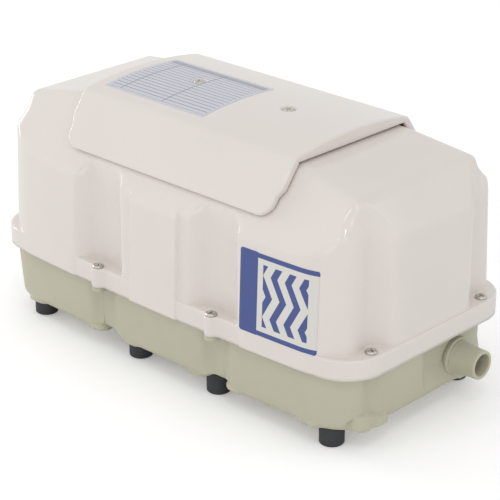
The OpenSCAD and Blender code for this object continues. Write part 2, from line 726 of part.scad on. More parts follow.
// Moving parts: shaft, armature, piston and ring
shaft_x = [18, 160];
armature_x = [68, 112];
piston_x = [150, 170];
ring_x = [161, 165];
ring_depth = 2.5;
guide_x = [24, 33];
shaft_clearance = 0.05;
module shaft_guide(side) {
    color([0.72, 0.55, 0.3]) unit(side) on_axis() difference() {
        bar_x(guide_r, guide_x[0], guide_x[1]);
        bar_x(shaft_r + shaft_clearance, guide_x[0] - over, guide_x[1] + over);
    }
}
module shaft(side) {
    color(steel) unit(side) on_axis() bar_x(shaft_r, shaft_x[0], shaft_x[1]);
}
module armature(side) {
    color(lamination) unit(side) on_axis() difference() {
        block([armature_x[0], -pole_half, -armature_half], [armature_x[1], pole_half, armature_half]);
        bar_x(shaft_r, armature_x[0] - over, armature_x[1] + over);
    }
}
piston_r = bore_r - piston_clearance;
skirt_wall = 4;
module piston(side) {
    color(cast_alloy) unit(side) on_axis() difference() {
        bar_x(piston_r, piston_x[0], piston_x[1]);
        difference() {
            bar_x(piston_r + over, ring_x[0], ring_x[1]);
            bar_x(piston_r - ring_depth, ring_x[0] - over, ring_x[1] + over);
        }
        difference() {
            bar_x(piston_r - ring_depth - skirt_wall, piston_x[0] - over, ring_x[0] - 2);
            bar_x(2*shaft_r, piston_x[0] - 2*over, ring_x[0]);
        }
        bar_x(shaft_r, piston_x[0] - over, shaft_x[1]);
    }
}
module piston_ring(side) {
    color(black_rubber) unit(side) on_axis() difference() {
        bar_x(piston_r, ring_x[0] + 0.1, ring_x[1] - 0.1);
        bar_x(piston_r - ring_depth + 0.1, ring_x[0] - over, ring_x[1] + over);
    }
}

// Cylinder, valve plate with its flaps, and head
cylinder_x = [122, 176];
liner_r = 33;
flange_r = 42;
flange_h = 6;
plate_x = [cylinder_x[1], cylinder_x[1] + 4];
head_x = [plate_x[1], plate_x[1] + 20];
head_wall = 4;
port_y = 14;
port_r = 6;
head_bolt_r = 37.5;
head_screw_r = 2;
head_hole_r = 2.2;
head_screw_places = [for (turn = [45:90:315]) [head_bolt_r*cos(turn), head_bolt_r*sin(turn)]];
module head_holes(x0, x1) {
    for (place = head_screw_places) translate([0, place[0], place[1]]) bar_x(head_hole_r, x0, x1);
}
module cylinder_barrel(side) {
    color(cast_alloy) unit(side) on_axis() difference() {
        union() {
            bar_x(liner_r, cylinder_x[0], cylinder_x[1]);
            bar_x(flange_r, cylinder_x[1] - flange_h, cylinder_x[1]);
            for (x = [134:7:162]) bar_x(liner_r + 5, x, x + 2.5);
        }
        bar_x(bore_r, cylinder_x[0] - over, cylinder_x[1] + over);
        head_holes(cylinder_x[1] - flange_h - over, cylinder_x[1] + over);
    }
}
module valve_plate(side) {
    color(steel) unit(side) on_axis() difference() {
        bar_x(flange_r, plate_x[0], plate_x[1]);
        for (sy = [-1, 1]) translate([0, sy*port_y, 0]) bar_x(port_r, plate_x[0] - over, plate_x[1] + over);
        head_holes(plate_x[0] - over, plate_x[1] + over);
    }
}
flap_h = 0.6;
flap_gap = 0.35;
flap_root_y = 24;
flap_tip_y = 5;
flap_half_w = 8;
module flap(x0, sy) {
    block([x0, min(sy*flap_tip_y, sy*flap_root_y), -flap_half_w],
        [x0 + flap_h, max(sy*flap_tip_y, sy*flap_root_y), flap_half_w]);
}
module suction_flap(side) {
    color(steel) unit(side) on_axis() flap(plate_x[0] - flap_gap - flap_h, 1);
}
module discharge_flap(side) {
    color(steel) unit(side) on_axis() flap(plate_x[1] + flap_gap, -1);
}
chamber_half_z = 22;
chamber_y = [3, 30];
hose_x = head_x[0] + 11;
hose_y = -16;
hose_bore_r = 8;
hose_r = 11;
clamp_r = 12;
clamp_w = 5;
spigot_bore_r = 5.5;
deck_spigot_top = deck_top_z + 7;
head_spigot_z = deck_spigot_top + 3;
hose_z = [deck_top_z + 1.5, axis_z - flange_r - 0.6];
intake_r = 5;
module cylinder_head(side) {
    color(cast_alloy) unit(side) difference() {
        union() {
            on_axis() bar_x(flange_r, head_x[0], head_x[1]);
            translate([hose_x, hose_y, head_spigot_z])
                cylinder(r = hose_bore_r, h = axis_z - 30 - head_spigot_z);
        }
        on_axis() for (sy = [-1, 1])
            block([head_x[0] - over, min(sy*chamber_y[0], sy*chamber_y[1]), -chamber_half_z],
                [head_x[1] - head_wall, max(sy*chamber_y[0], sy*chamber_y[1]), chamber_half_z]);
        translate([hose_x, hose_y, head_spigot_z - over])
            cylinder(r = spigot_bore_r, h = axis_z - head_spigot_z);
        on_axis() for (z = [-14, 0, 14]) translate([0, port_y, z])
            bar_x(intake_r, head_x[1] - 2*head_wall, head_x[1] + over);
        on_axis() head_holes(head_x[0] - over, head_x[1] + over);
    }
}
module head_screws(side) {
    color(steel) unit(side) on_axis() for (place = head_screw_places)
        translate([head_x[1], place[0], place[1]]) rotate([0, 90, 0])
            pan_screw(head_screw_r, head_x[1] - cylinder_x[1] + flange_h - 1, 4, 2.4);
}
module discharge_hose(side) {
    color(black_rubber) unit(side) translate([hose_x, hose_y, hose_z[0]]) difference() {
        cylinder(r = hose_r, h = hose_z[1] - hose_z[0]);
        translate([0, 0, -over]) cylinder(r = hose_bore_r, h = hose_z[1] - hose_z[0] + 2*over);
    }
}
module hose_clamps(side) {
    color(steel) unit(side) for (z = [hose_z[0] + 1.5, hose_z[1] - 1.5 - clamp_w])
        translate([hose_x, hose_y, z]) difference() {
            cylinder(r = clamp_r, h = clamp_w);
            translate([0, 0, -over]) cylinder(r = hose_r, h = clamp_w + 2*over);
        }
}

// Return spring: one unbroken tube swept along a helix between its cap and the armature
spring_x = [36, armature_x[0]];
spring_r = 15;
turn_rings = 8;
spring_rings = turn_rings*spring_turns;
spring_sides = 6;
cap_x = [bracket_x[1] + 2, spring_x[0]];
cap_r = 19;
cap_spigot_r = spring_r*cos(180/turn_rings) - spring_wire_r - 0.5;
spring_run = spring_x[1] - spring_x[0] - 2*spring_wire_r - 0.4;
function spring_centre(i) = let (a = 360*spring_turns*i/spring_rings)
    [spring_x[0] + spring_wire_r + 0.2 + spring_run*i/spring_rings, spring_r*cos(a), spring_r*sin(a)];
function spring_ring(i) = let (a = 360*spring_turns*i/spring_rings, c = spring_centre(i))
    [for (k = [0:spring_sides - 1]) let (b = 360*k/spring_sides)
        c + spring_wire_r*(cos(b)*[0, cos(a), sin(a)] + [sin(b), 0, 0])];
spring_points = concat([for (i = [0:spring_rings]) each spring_ring(i)],
    [spring_centre(0), spring_centre(spring_rings)]);
function spring_quad(i, k) = let (a = i*spring_sides + k, b = i*spring_sides + (k + 1)%spring_sides)
    [[a, b, b + spring_sides], [a, b + spring_sides, a + spring_sides]];
spring_end = spring_rings*spring_sides;
spring_faces = concat(
    [for (i = [0:spring_rings - 1]) for (k = [0:spring_sides - 1]) each spring_quad(i, k)],
    [for (k = [0:spring_sides - 1]) [(k + 1)%spring_sides, k, spring_end + spring_sides]],
    [for (k = [0:spring_sides - 1])
        [spring_end + k, spring_end + (k + 1)%spring_sides, spring_end + spring_sides + 1]]);
// Least gap between neighbouring turns, measured over one turn of rings
spring_gap = min([for (i = [0:spring_rings - turn_rings])
    norm(spring_centre(i + turn_rings) - spring_centre(i))]) - 2*spring_wire_r;
echo(spring_gap = spring_gap);
module return_spring(side) {
    color(steel) unit(side) on_axis() polyhedron(spring_points, spring_faces);
}
module spring_cap(side) {
    color(nylon) unit(side) on_axis() difference() {
        union() {
            bar_x(cap_r, cap_x[0], cap_x[1]);
            bar_x(cap_spigot_r, cap_x[0], cap_x[1] + 5);
        }
        bar_x(shaft_r + 2, cap_x[0] - over, cap_x[1] + 6);
    }
}

tank_base();
rubber_feet();
foot_screws();
outlet_port();
outlet_seal();
outlet_nut();
cord_gland();
deck_gasket();
deck_plate();
deck_screws();
terminal_block();
hood();
hood_screws();
filter_element();
filter_cover();
filter_cover_screws();
for (side = SIDES) {
    vibration_mounts(side);
    pump_frame(side);
    stator_core(side);
    coil_bobbins(side);
    coil_windings(side);
    shaft_guide(side);
    shaft(side);
    armature(side);
    piston(side);
    piston_ring(side);
    cylinder_barrel(side);
    valve_plate(side);
    suction_flap(side);
    discharge_flap(side);
    cylinder_head(side);
    head_screws(side);
    return_spring(side);
    spring_cap(side);
    discharge_hose(side);
    hose_clamps(side);
}
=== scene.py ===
"""Linear piston air pump: the looks of every piece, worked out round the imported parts.

Shells are the surfaces where a field of signed distances is zero, found along rays on a grid of
columns round the casing and rows up it. Round pieces are profiles carried round an axis or a path.
"""
import math
from functools import partial

import bmesh
import bpy
import numpy as np
from bpy.props import FloatProperty, FloatVectorProperty, PointerProperty
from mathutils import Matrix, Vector


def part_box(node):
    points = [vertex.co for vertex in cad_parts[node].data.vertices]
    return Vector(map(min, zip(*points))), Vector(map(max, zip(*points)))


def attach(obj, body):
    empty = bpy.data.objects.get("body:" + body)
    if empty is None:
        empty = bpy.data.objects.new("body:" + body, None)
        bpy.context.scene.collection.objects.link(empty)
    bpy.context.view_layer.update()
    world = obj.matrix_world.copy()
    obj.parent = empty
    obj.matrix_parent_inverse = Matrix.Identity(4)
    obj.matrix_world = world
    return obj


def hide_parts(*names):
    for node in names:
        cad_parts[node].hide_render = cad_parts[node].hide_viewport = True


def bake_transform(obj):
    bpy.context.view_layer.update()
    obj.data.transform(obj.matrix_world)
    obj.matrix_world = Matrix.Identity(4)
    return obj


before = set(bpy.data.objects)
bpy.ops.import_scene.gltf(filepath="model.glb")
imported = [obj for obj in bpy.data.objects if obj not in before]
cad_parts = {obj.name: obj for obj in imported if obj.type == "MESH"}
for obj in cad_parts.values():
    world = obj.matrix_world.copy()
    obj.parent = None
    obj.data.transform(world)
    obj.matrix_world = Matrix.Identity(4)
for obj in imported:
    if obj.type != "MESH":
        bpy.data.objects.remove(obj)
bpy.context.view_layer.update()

bl_info = {
    "name": "Air Pump Looks",
    "version": (1, 0, 0),
    "blender": (4, 5, 0),
    "location": "View3D > Sidebar > Air Pump",
    "description": "Builds the casing, labels and inner finishes of a linear piston air pump",
    "category": "Object",
}

MM = 0.001
HOOD_LOW, HOOD_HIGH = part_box("hood")
BASE_LOW, BASE_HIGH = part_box("tank_base")
COVER_LOW, COVER_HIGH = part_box("filter_cover")
OUTLET_LOW, OUTLET_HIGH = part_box("outlet_port")
FEET_LOW, FEET_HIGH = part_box("rubber_feet")
FILTER_LOW, FILTER_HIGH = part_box("filter_element")
CENTRE_X = (HOOD_LOW.x + HOOD_HIGH.x) / 2
SIDES = {"left": -1, "right": 1}
BOTH = (-1, 1)
TRAY_HALF = (112 * MM, 56 * MM)


def size(name, description, default):
    """A length that a user may change."""
    return FloatProperty(name=name, description=description, default=default, unit="LENGTH", precision=4)


def colour(name, description, default):
    """A colour that a user may change, as linear red, green and blue."""
    return FloatVectorProperty(
        name=name, description=description, default=default, subtype="COLOR", size=3, min=0, max=1
    )


class HoodSizes(bpy.types.PropertyGroup):
    """Sizes of the hood and its filter cover."""

    length: size("Length", "Length over the skirt", HOOD_HIGH.x - HOOD_LOW.x)
    half_depth: size("Half depth", "Middle plane to the long sides at mid length", 115.3 * MM)
    bow: size("Bow", "Bow of the long sides between the corners", 6 * MM)
    corner: size("Corner", "Corner radius of the skirt in plan", 35 * MM)
    wall_corner: size("Wall corner", "Corner radius of the walls above the skirt", 52 * MM)
    wall: size("Wall", "Wall thickness", 3 * MM)
    seam_z: size("Seam height", "Height of the seam between base and hood", HOOD_LOW.z)
    ledge_z: size("Ledge height", "Height of the top of the skirt", 91 * MM)
    draft: size("Draft", "Inward lean of the long sides up to the shoulder", 2.9 * MM)
    shoulder_y: size("Shoulder depth", "Middle plane to the foot of the long slopes", 110.3 * MM)
    shoulder_z: size("Shoulder height", "Height of the foot of the long slopes", 171 * MM)
    roof_y: size("Roof depth", "Half depth of the roof", 66 * MM)
    roof_z: size("Roof height", "Height of the roof", 230 * MM)
    roof_x: size("Roof level length", "Half length of the level roof", 129 * MM)
    roof_end_x: size("Roof end", "Half length of the roof at the top of the end slopes", 200 * MM)
    roof_end_z: size("Roof end height", "Height of the roof at the top of the end slopes", 218.6 * MM)
    end_setback: size("End set-back", "Set-back of the end walls above the skirt", 2.5 * MM)
    end_draft: size("End draft", "Inward lean of the end walls", 1.5 * MM)
    end_shoulder_z: size("End shoulder", "Height of the foot of the end slopes", 183 * MM)
    recess_x: size("Recess place", "Middle to the side recesses and their screws", 71.6 * MM)
    recess_half: size("Recess floor", "Half width of a recess floor", 18 * MM)
    recess_y: size("Recess depth", "Middle plane to a recess floor", 100 * MM)
    panel_half: size("Centre panel", "Half width of the raised centre panel", 29.5 * MM)
    land_depth: size("Land depth", "Depth of the lands beside the centre panel", 2.75 * MM)
    cover_edge_y: size("Cover edge", "Half depth of the cover's top", 72 * MM)
    cover_edge_z: size("Cover edge height", "Height of the cover's long edges", 236 * MM)
    cover_end_y: size("Cover reach", "Half depth of the cover at its lower edge", 102 * MM)
    cover_end_z: size("Cover lower edge", "Height of the cover's lower edge", 191.6 * MM)


class BaseSizes(bpy.types.PropertyGroup):
    """Sizes of the tank base, the feet and the outlet."""

    half_depth: size("Half depth", "Middle plane to the long sides at the seam", 110.5 * MM)
    bow: size("Bow", "Bow of the long sides between the corners", 6 * MM)
    corner: size("Corner", "Corner radius in plan", 36 * MM)
    draft: size("Draft", "Inward lean of the walls down to the floor", 5 * MM)
    wall: size("Wall", "Wall thickness", 3.5 * MM)
    fillet: size("Fillet", "Radius along the bottom edge", 7 * MM)
    recess_x: size("Recess place", "Middle to the side recesses", 71.6 * MM)
    recess_y: size("Recess depth", "Middle plane to the floor of the side recesses", 102.5 * MM)
    recess_half: size("Recess floor", "Half width of a recess floor", 10 * MM)
    arch_z: size("Arch height", "Underside of the base across the side recesses", 27 * MM)
    pad_z: size("Pad height", "Height of the pads along the bottom edge", 26.5 * MM)
    outlet_wall_x: size("Outlet wall", "Middle to the recessed wall behind the outlet", 209.4 * MM)
    outlet_step_y: size("Outlet step", "Middle plane to the near end of that wall", 1.5 * MM)
    end_pad_z: size("End pad height", "Height of the pads along the bottom of the ends", 30.5 * MM)
    foot_radius: size("Foot radius", "Radius of a rubber foot", 11 * MM)


class LabelSizes(bpy.types.PropertyGroup):
    """Sizes of the two stuck-on sheets."""

    front_width: size("Front width", "Width of the front sheet", 81 * MM)
    front_height: size("Front height", "Height of the front sheet", 74 * MM)
    top_length: size("Top length", "Length of the top sheet", 125 * MM)
    top_depth: size("Top depth", "Depth of the top sheet", 90.5 * MM)


class Finishes(bpy.types.PropertyGroup):
    """Colours of the pump's materials."""

    hood: colour("Hood", "Off-white moulded plastic", (0.79, 0.735, 0.69))
    tank: colour("Tank", "Grey-green moulded plastic", (0.53, 0.512, 0.39))
    rubber: colour("Rubber", "Black rubber", (0.032, 0.033, 0.037))
    steel: colour("Steel", "Nickel plate", (0.5, 0.485, 0.44))
    zinc: colour("Zinc", "Zinc plate", (0.50, 0.52, 0.54))
    alloy: colour("Alloy", "Cast aluminium", (0.55, 0.56, 0.57))
    lamination: colour("Laminations", "Varnished steel sheets", (0.10, 0.11, 0.12))
    copper: colour("Copper", "Enamelled copper wire", (0.50, 0.20, 0.08))
    bronze: colour("Bronze", "Sintered bronze", (0.50, 0.30, 0.10))
    nylon: colour("Nylon", "Natural nylon", (0.78, 0.76, 0.68))
    mat: colour("Filter mat", "Open foam", (0.14, 0.15, 0.155))
    sheet_ground: colour("Sheet ground", "Ground of the front sheet", (0.74, 0.72, 0.68))
    sheet_blue: colour("Sheet blue", "Print of the front sheet", (0.055, 0.085, 0.26))
    card_ground: colour("Card ground", "Ground of the top sheet", (0.62, 0.63, 0.69))
    card_ink: colour("Card ink", "Ruled lines of the top sheet", (0.11, 0.115, 0.16))


class PumpSettings(bpy.types.PropertyGroup):
    """Everything that the operators read."""

    hood: PointerProperty(name="Hood", description="Hood and filter cover", type=HoodSizes)
    base: PointerProperty(name="Base", description="Tank base, feet and outlet", type=BaseSizes)
    labels: PointerProperty(name="Labels", description="Stuck-on sheets", type=LabelSizes)
    finishes: PointerProperty(name="Finishes", description="Colours", type=Finishes)


# Fields and grids


def ramp(value, low, high):
    """Smooth step from 0 at low to 1 at high."""
    t = np.clip((value - low) / (high - low), 0, 1)
    return t * t * (3 - 2 * t)


def round_max(a, b, radius):
    """Overlap of two fields: the larger, with the edge rounded where both come within the radius."""
    inner = np.minimum(np.maximum(a, b), -radius)
    return inner + np.hypot(np.maximum(a + radius, 0), np.maximum(b + radius, 0))


def round_min(a, b, radius):
    """Union of two fields: the smaller, with the inner corner filled to the radius."""
    return -round_max(-a, -b, radius)


def edge(u, v, start, end):
    """Signed distance to the line from start to end, positive on its right-hand side."""
    run, rise = end[0] - start[0], end[1] - start[1]
    return ((u - start[0]) * rise - (v - start[1]) * run) / math.hypot(run, rise)


def groove(across, depth, half, radius):
    """Groove with 45 degree sides, negative inside: its floor lies at depth 0 and reaches half to
    each side."""
    return round_max(-depth, (np.abs(across) - half - depth) / math.sqrt(2), radius)


def at_height(flat, z):
    """Points of a plan at one height."""
    return np.insert(flat[..., :2], 2, z, axis=-1)


def circle(count):
    """Angles of that many points round a circle."""
    return np.arange(count) * 2 * math.pi / count


def walk(turn, s):
    """Rays in plan round the filter tray, for s from 0 to 1: the start runs along each side with the
    direction square to it, and at each corner the direction fans through a quarter turn."""
    half_x, half_y = TRAY_HALF
    legs = np.array([2 * half_x, turn, 2 * half_y, turn] * 2)
    knots = np.concatenate([[0], np.cumsum(legs)]) / legs.sum()
    x = np.interp(s, knots, np.array([-1, 1, 1, 1, 1, -1, -1, -1, -1]) * half_x) + CENTRE_X
    y = np.interp(s, knots, np.array([-1, -1, -1, 1, 1, 1, 1, -1, -1]) * half_y)
    angle = np.radians(np.interp(s, knots, [-90, -90, 0, 0, 90, 90, 180, 180, 270]))
    return np.stack([x, y], -1), np.stack([np.cos(angle), np.sin(angle)], -1)


def cast(field, level, start, direction, reach=0.4, halvings=30):
    """Points where rays leave the field's level, by halving the stretch between inside and outside."""
    near = np.zeros(start.shape[:-1])
    far = np.full(start.shape[:-1], reach)
    for _ in range(halvings):
        middle = (near + far) / 2
        inside = field(start + middle[..., None] * direction) < level
        near = np.where(inside, middle, near)
        far = np.where(inside, far, middle)
    return start + near[..., None] * direction


def bend_weight(points, stiffness):
    """Weight of each step along the first axis: its length, and stiffness times its turn."""
    step = np.diff(points, axis=0)
    length = np.linalg.norm(step, axis=-1)
    unit = step / np.maximum(length, 1e-9)[..., None]
    turn = np.zeros_like(length)
    cosine = np.clip((unit[1:] * unit[:-1]).sum(-1), -1, 1)
    turn[1:] += np.arccos(cosine) / 2
    turn[:-1] += np.arccos(cosine) / 2
    return length + stiffness * turn


def shared_columns(field, heights, count, stiffness=45 * MM, fine=2600):
    """Rays round the casing, closer together where its outline turns at any of the heights."""
    s = np.linspace(0, 1, fine)
    turn = math.pi / 2 * (HOOD_HIGH.y - TRAY_HALF[1])
    start, direction = walk(turn, s)
    outlines = [cast(field, 0, at_height(start, z), at_height(direction, 0)) for z in heights]
    weight = np.max([bend_weight(outline, stiffness) for outline in outlines], axis=0)
    total = np.concatenate([[0], np.cumsum(weight)])
    return walk(turn, np.interp(np.arange(count) * total[-1] / count, total, s))


def shell(field, level, rays, z, turn, count, stiffness=30 * MM, fine=420):
    """Grid on the surface where field equals level: rays from height z, turned from level to straight
    up (turn 1) or down (turn -1), with rows closer together where a column bends."""
    start, direction = rays
    columns = len(start)
    start = at_height(start, z)

    def aimed(t):
        """Directions at a share t of the quarter turn."""
        angle = t * turn * math.pi / 2
        flat = np.cos(angle)[..., None] * direction
        return np.concatenate([flat, np.sin(angle)[..., None]], -1)

    t = np.linspace(0, 1, fine)
    first = cast(field, level, np.broadcast_to(start, (fine, columns, 3)),
                 aimed(np.repeat(t[:, None], columns, 1)), halvings=22)
    weight = bend_weight(first, stiffness)
    weight = sum(np.roll(weight, shift, 1) for shift in (-2, -1, 0, 1, 2))
    total = np.concatenate([np.zeros((1, columns)), np.cumsum(weight, 0)])
    total = total / total[-1] * (1 - 1e-9) + np.arange(columns)
    wanted = np.linspace(0, 1 - 1e-9, count)[:, None] + np.arange(columns)
    rows = np.interp(wanted.T.ravel(), total.T.ravel(), np.tile(t, columns)).reshape(columns, count).T
    rows[0], rows[-1] = 0, 1
    return cast(field, level, np.broadcast_to(start, (count, columns, 3)), aimed(rows))


def surface(grid, wrap_rows=False, wrap_columns=True):
    """Points of a grid that may close on itself either way, and the quads between neighbours."""
    rows, columns = grid.shape[:2]
    i = np.arange(rows if wrap_rows else rows - 1)[:, None]
    j = np.arange(columns if wrap_columns else columns - 1)[None, :]
    below, beside = (i + 1) % rows * columns, (j + 1) % columns
    quads = [i * columns + j, i * columns + beside, below + beside, below + j]
    faces = np.stack([np.broadcast_to(q, (i.size, j.size)) for q in quads], -1)
    return grid.reshape(-1, 3), faces.reshape(-1, 4)


def revolve(profile, centre, axis="z", segments=48):
    """Profile of (radius, place along the axis) points carried round an axis through centre."""
    turn = circle(segments)
    radius, along = np.asarray(profile, float).T
    ring = [radius[:, None] * np.cos(turn), radius[:, None] * np.sin(turn)]
    along = np.broadcast_to(along[:, None], ring[0].shape)
    order = [*ring, along] if axis == "z" else [along, *ring]
    return surface(np.stack(order, -1) + np.asarray(centre, float))


def arc(centre, radius, first, last, count=6):
    """Points on a circle's arc between two angles in degrees."""
    a = np.radians(np.linspace(first, last, count))
    return np.stack([centre[0] + radius * np.cos(a), centre[1] + radius * np.sin(a)], -1)


def eased(points, count):
    """Steps between knots, count to each gap, closer together towards the knots."""
    t = (1 - np.cos(np.linspace(0, math.pi, count + 1)[:-1])) / 2
    gaps = [a + (b - a) * t for a, b in zip(points[:-1], points[1:])]
    return np.concatenate([*gaps, points[-1:]])


def bordered(half, share, count):
    """Eased steps from -half to half, with knots at the ends and at a share of the way out."""
    return eased(half * np.array([-1, -share, share, 1]), count)


def mirrored(*knots):
    """Knots on both sides of 0, with 0 between them."""
    return np.array([*(-knot for knot in reversed(knots)), 0, *knots])


def rounded_grid(u, v, half_width, radius):
    """Grid of (across, along) points: rows v, each reaching over u times the half width there, which
    follows quarter circles at the ends of the outline."""
    half_v = np.abs(v).max()
    into = np.maximum(np.abs(v) - (half_v - radius), 0)
    width = half_width - radius + np.sqrt(np.maximum(radius**2 - into**2, 0))
    return np.stack(np.broadcast_arrays(u[None, :] * width[:, None], v[:, None]), -1)


def outline_of(grid):
    """Points along the border of a grid, in order, and the directions square to it."""
    loop = np.concatenate([grid[0], grid[1:, -1], grid[-1, -2::-1], grid[-2:0:-1, 0]])
    tangent = np.roll(loop, -1, 0) - np.roll(loop, 1, 0)
    tangent /= np.maximum(np.linalg.norm(tangent, axis=-1), 1e-9)[:, None]
    return loop, np.stack([tangent[:, 1], -tangent[:, 0]], -1)


def skin(place, grid, depth, rows):
    """Closed sheet: the grid at depth 0, the same grid at depth, and a rim of rows between their
    borders; place turns flat points and a depth into points in space."""
    loop, _ = outline_of(grid)
    rim = np.stack([place(loop, level) for level in np.linspace(0, depth, rows)])
    top, bottom = (surface(place(grid, level), wrap_columns=False) for level in (0, depth))
    return [top, surface(rim), bottom]


def slotted_plate(xs, ys, solid, z0, z1):
    """Plate on a grid of cells, open where solid is False, with a wall round every opening."""
    nx, ny = len(xs), len(ys)
    flat = np.stack(np.meshgrid(xs, ys, indexing="ij"), -1).reshape(-1, 2)
    points = np.concatenate([at_height(flat, z) for z in (z0, z1)])
    i, j = np.nonzero(solid)

    def corner(di, dj, layer):
        """Numbers of one corner of every solid cell, in the lower or the upper layer."""
        return (i + di) * ny + j + dj + layer * nx * ny

    around = [(0, 0), (1, 0), (1, 1), (0, 1)]
    faces = [np.stack([corner(*c, 1) for c in around], -1),
             np.stack([corner(*c, 0) for c in around[::-1]], -1)]
    padded = np.pad(solid, 1)
    for (di, dj), a, b in zip([(0, -1), (1, 0), (0, 1), (-1, 0)], around, around[1:] + around[:1]):
        bare = ~padded[i + 1 + di, j + 1 + dj]
        wall = np.stack([corner(*a, 0), corner(*b, 0), corner(*b, 1), corner(*a, 1)], -1)
        faces.append(wall[bare])
    return points, np.concatenate(faces)


def tube(path, radius, sides=14):
    """Round bar along a path of points, closed with a point at each end: each ring stands square to
    the path, in the frame of its tangent and the direction away from the X axis of the coil."""
    tangent = np.gradient(path, axis=0)
    tangent /= np.linalg.norm(tangent, axis=-1)[:, None]
    side = np.cross(tangent, [1.0, 0, 0])
    side /= np.linalg.norm(side, axis=-1)[:, None]
    other = np.cross(tangent, side)
    a = circle(sides)
    rings = radius * (np.cos(a)[:, None] * side[:, None] + np.sin(a)[:, None] * other[:, None])
    grid = np.concatenate([np.zeros((1, sides, 3)), rings, np.zeros((1, sides, 3))])
    return surface(grid + np.concatenate([path[:1], path, path[-1:]])[:, None])


def add_object(name, parts, paint):
    """New object from lists of points and quads: doubles merged, poles closed and faces outwards."""
    counts = np.cumsum([0] + [len(points) for points, _ in parts])
    points = np.concatenate([points for points, _ in parts])
    faces = np.concatenate([quads + first for (_, quads), first in zip(parts, counts)])
    mesh = bpy.data.meshes.new(name)
    mesh.vertices.add(len(points))
    mesh.vertices.foreach_set("co", points.astype(np.float32).ravel())
    mesh.loops.add(faces.size)
    mesh.loops.foreach_set("vertex_index", faces.astype(np.int32).ravel())
    mesh.polygons.add(len(faces))
    mesh.polygons.foreach_set("loop_start", np.arange(0, faces.size, 4, dtype=np.int32))
    mesh.update(calc_edges=True)
    made = bmesh.new()
    made.from_mesh(mesh)
    bmesh.ops.remove_doubles(made, verts=made.verts, dist=1e-6)
    bmesh.ops.dissolve_degenerate(made, edges=made.edges, dist=1e-7)
    bmesh.ops.recalc_face_normals(made, faces=made.faces)
    made.to_mesh(mesh)
    made.free()
    mesh.shade_smooth()
    mesh.materials.append(paint)
    made = bpy.data.objects.new(name, mesh)
    bpy.context.scene.collection.objects.link(made)
    return made


def add_piece(name, parts, body, slot, node):
    """New piece in a slot's finish that stands for a CAD node. It rides on a body, or on none if no body is
    given."""
    piece = add_object(name, parts, finish(slot))
    if body:
        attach(piece, body)
    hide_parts(node)
    return piece


# Materials


class Wire:
    """An output of a material's node tree; sums and products of wires add Math nodes."""

    def __init__(self, tree, socket=None):
        self.tree = tree
        self.socket = socket

    def node(self, kind, settings=(), inputs=(), output=0):
        """Adds a node of that type, applies its settings, fills its inputs and returns one output."""
        made = self.tree.nodes.new(kind)
        for key, value in dict(settings).items():
            setattr(made, key, value)
        for key, value in dict(inputs).items():
            if isinstance(value, Wire):
                self.tree.links.new(value.socket, made.inputs[key])
            else:
                made.inputs[key].default_value = value
        return Wire(self.tree, made.outputs[output])

    def beside(self, output):
        """Another output of the same node."""
        return Wire(self.tree, self.socket.node.outputs[output])

    def math(self, operation, *values):
        """Math node on wires and numbers."""
        return self.node("ShaderNodeMath", {"operation": operation}, enumerate(values))

    def __add__(self, other):
        return self.math("ADD", self, other)

    __radd__ = __add__

    def __sub__(self, other):
        return self.math("SUBTRACT", self, other)

    def __rsub__(self, other):
        return self.math("SUBTRACT", other, self)

    def __mul__(self, other):
        return self.math("MULTIPLY", self, other)

    __rmul__ = __mul__

    def __abs__(self):
        return self.math("ABSOLUTE", self)

    def __lt__(self, other):
        return self.math("LESS_THAN", self, other)

    def rising(self, low, high):
        """0 up to low and 1 from high, with a smooth step between them."""
        return self.node("ShaderNodeMapRange", {"interpolation_type": "SMOOTHSTEP"},
                         {0: self, 1: low, 2: high})

    def under(self, high, soft):
        """1 up to high, falling to 0 over the soft width past it."""
        return 1 - self.rising(high, high + soft)

    def within(self, low, high, soft):
        """1 from low to high, falling to 0 over the soft width outside them."""
        return self.rising(low - soft, low) * self.under(high, soft)

    def place(self):
        """Object coordinates as a vector."""
        return self.node("ShaderNodeTexCoord", output="Object")

    def axes(self):
        """Object coordinates as three values."""
        split = self.node("ShaderNodeSeparateXYZ", (), {0: self.place()})
        return [split.beside(axis) for axis in "XYZ"]

    def noise(self, scale, detail=2.0, stretch=(1, 1, 1)):
        """Noise of that many cells a metre, stretched along the axes."""
        spot = self.node("ShaderNodeVectorMath", {"operation": "MULTIPLY"}, {0: self.place(), 1: stretch})
        return self.node("ShaderNodeTexNoise", (), {"Vector": spot, "Scale": scale, "Detail": detail})

    def cells(self, scale, feature="F1"):
        """Distance to the middle of the nearest of that many cells a metre."""
        return self.node("ShaderNodeTexVoronoi", {"feature": feature},
                         {"Vector": self.place(), "Scale": scale})

    def mixed(self, low, high):
        """Colour that goes from low to high with this value."""
        sockets = {0: self}
        for key, shade in ((6, low), (7, high)):
            sockets[key] = shade if isinstance(shade, Wire) else (*shade, 1)
        return self.node("ShaderNodeMix", {"data_type": "RGBA"}, sockets, output=2)

    def shaded(self, base, low, high):
        """Colour that goes from low times the base to high times the base with this value."""
        return self.mixed(*([min(channel * factor, 1) for channel in base] for factor in (low, high)))

    def bumped(self, strength, distance):
        """Normal that follows this height."""
        return self.node("ShaderNodeBump", (), {"Strength": strength, "Distance": distance, "Height": self})


def material(name, sockets_of, base, **constants):
    """New material: sockets_of gives what varies over the surface, and the constants are set on the
    shader's own sockets."""
    made = bpy.data.materials.get(name)
    if made:
        return made
    made = bpy.data.materials.new(name)
    made.use_nodes = True
    shader = made.node_tree.nodes["Principled BSDF"]
    for key, value in constants.items():
        shader.inputs[key.replace("_", " ")].default_value = value
    for key, value in sockets_of(Wire(made.node_tree), tuple(base)).items():
        made.node_tree.links.new(value.socket, shader.inputs[key])
    made.diffuse_color = (*base, 1)
    return made


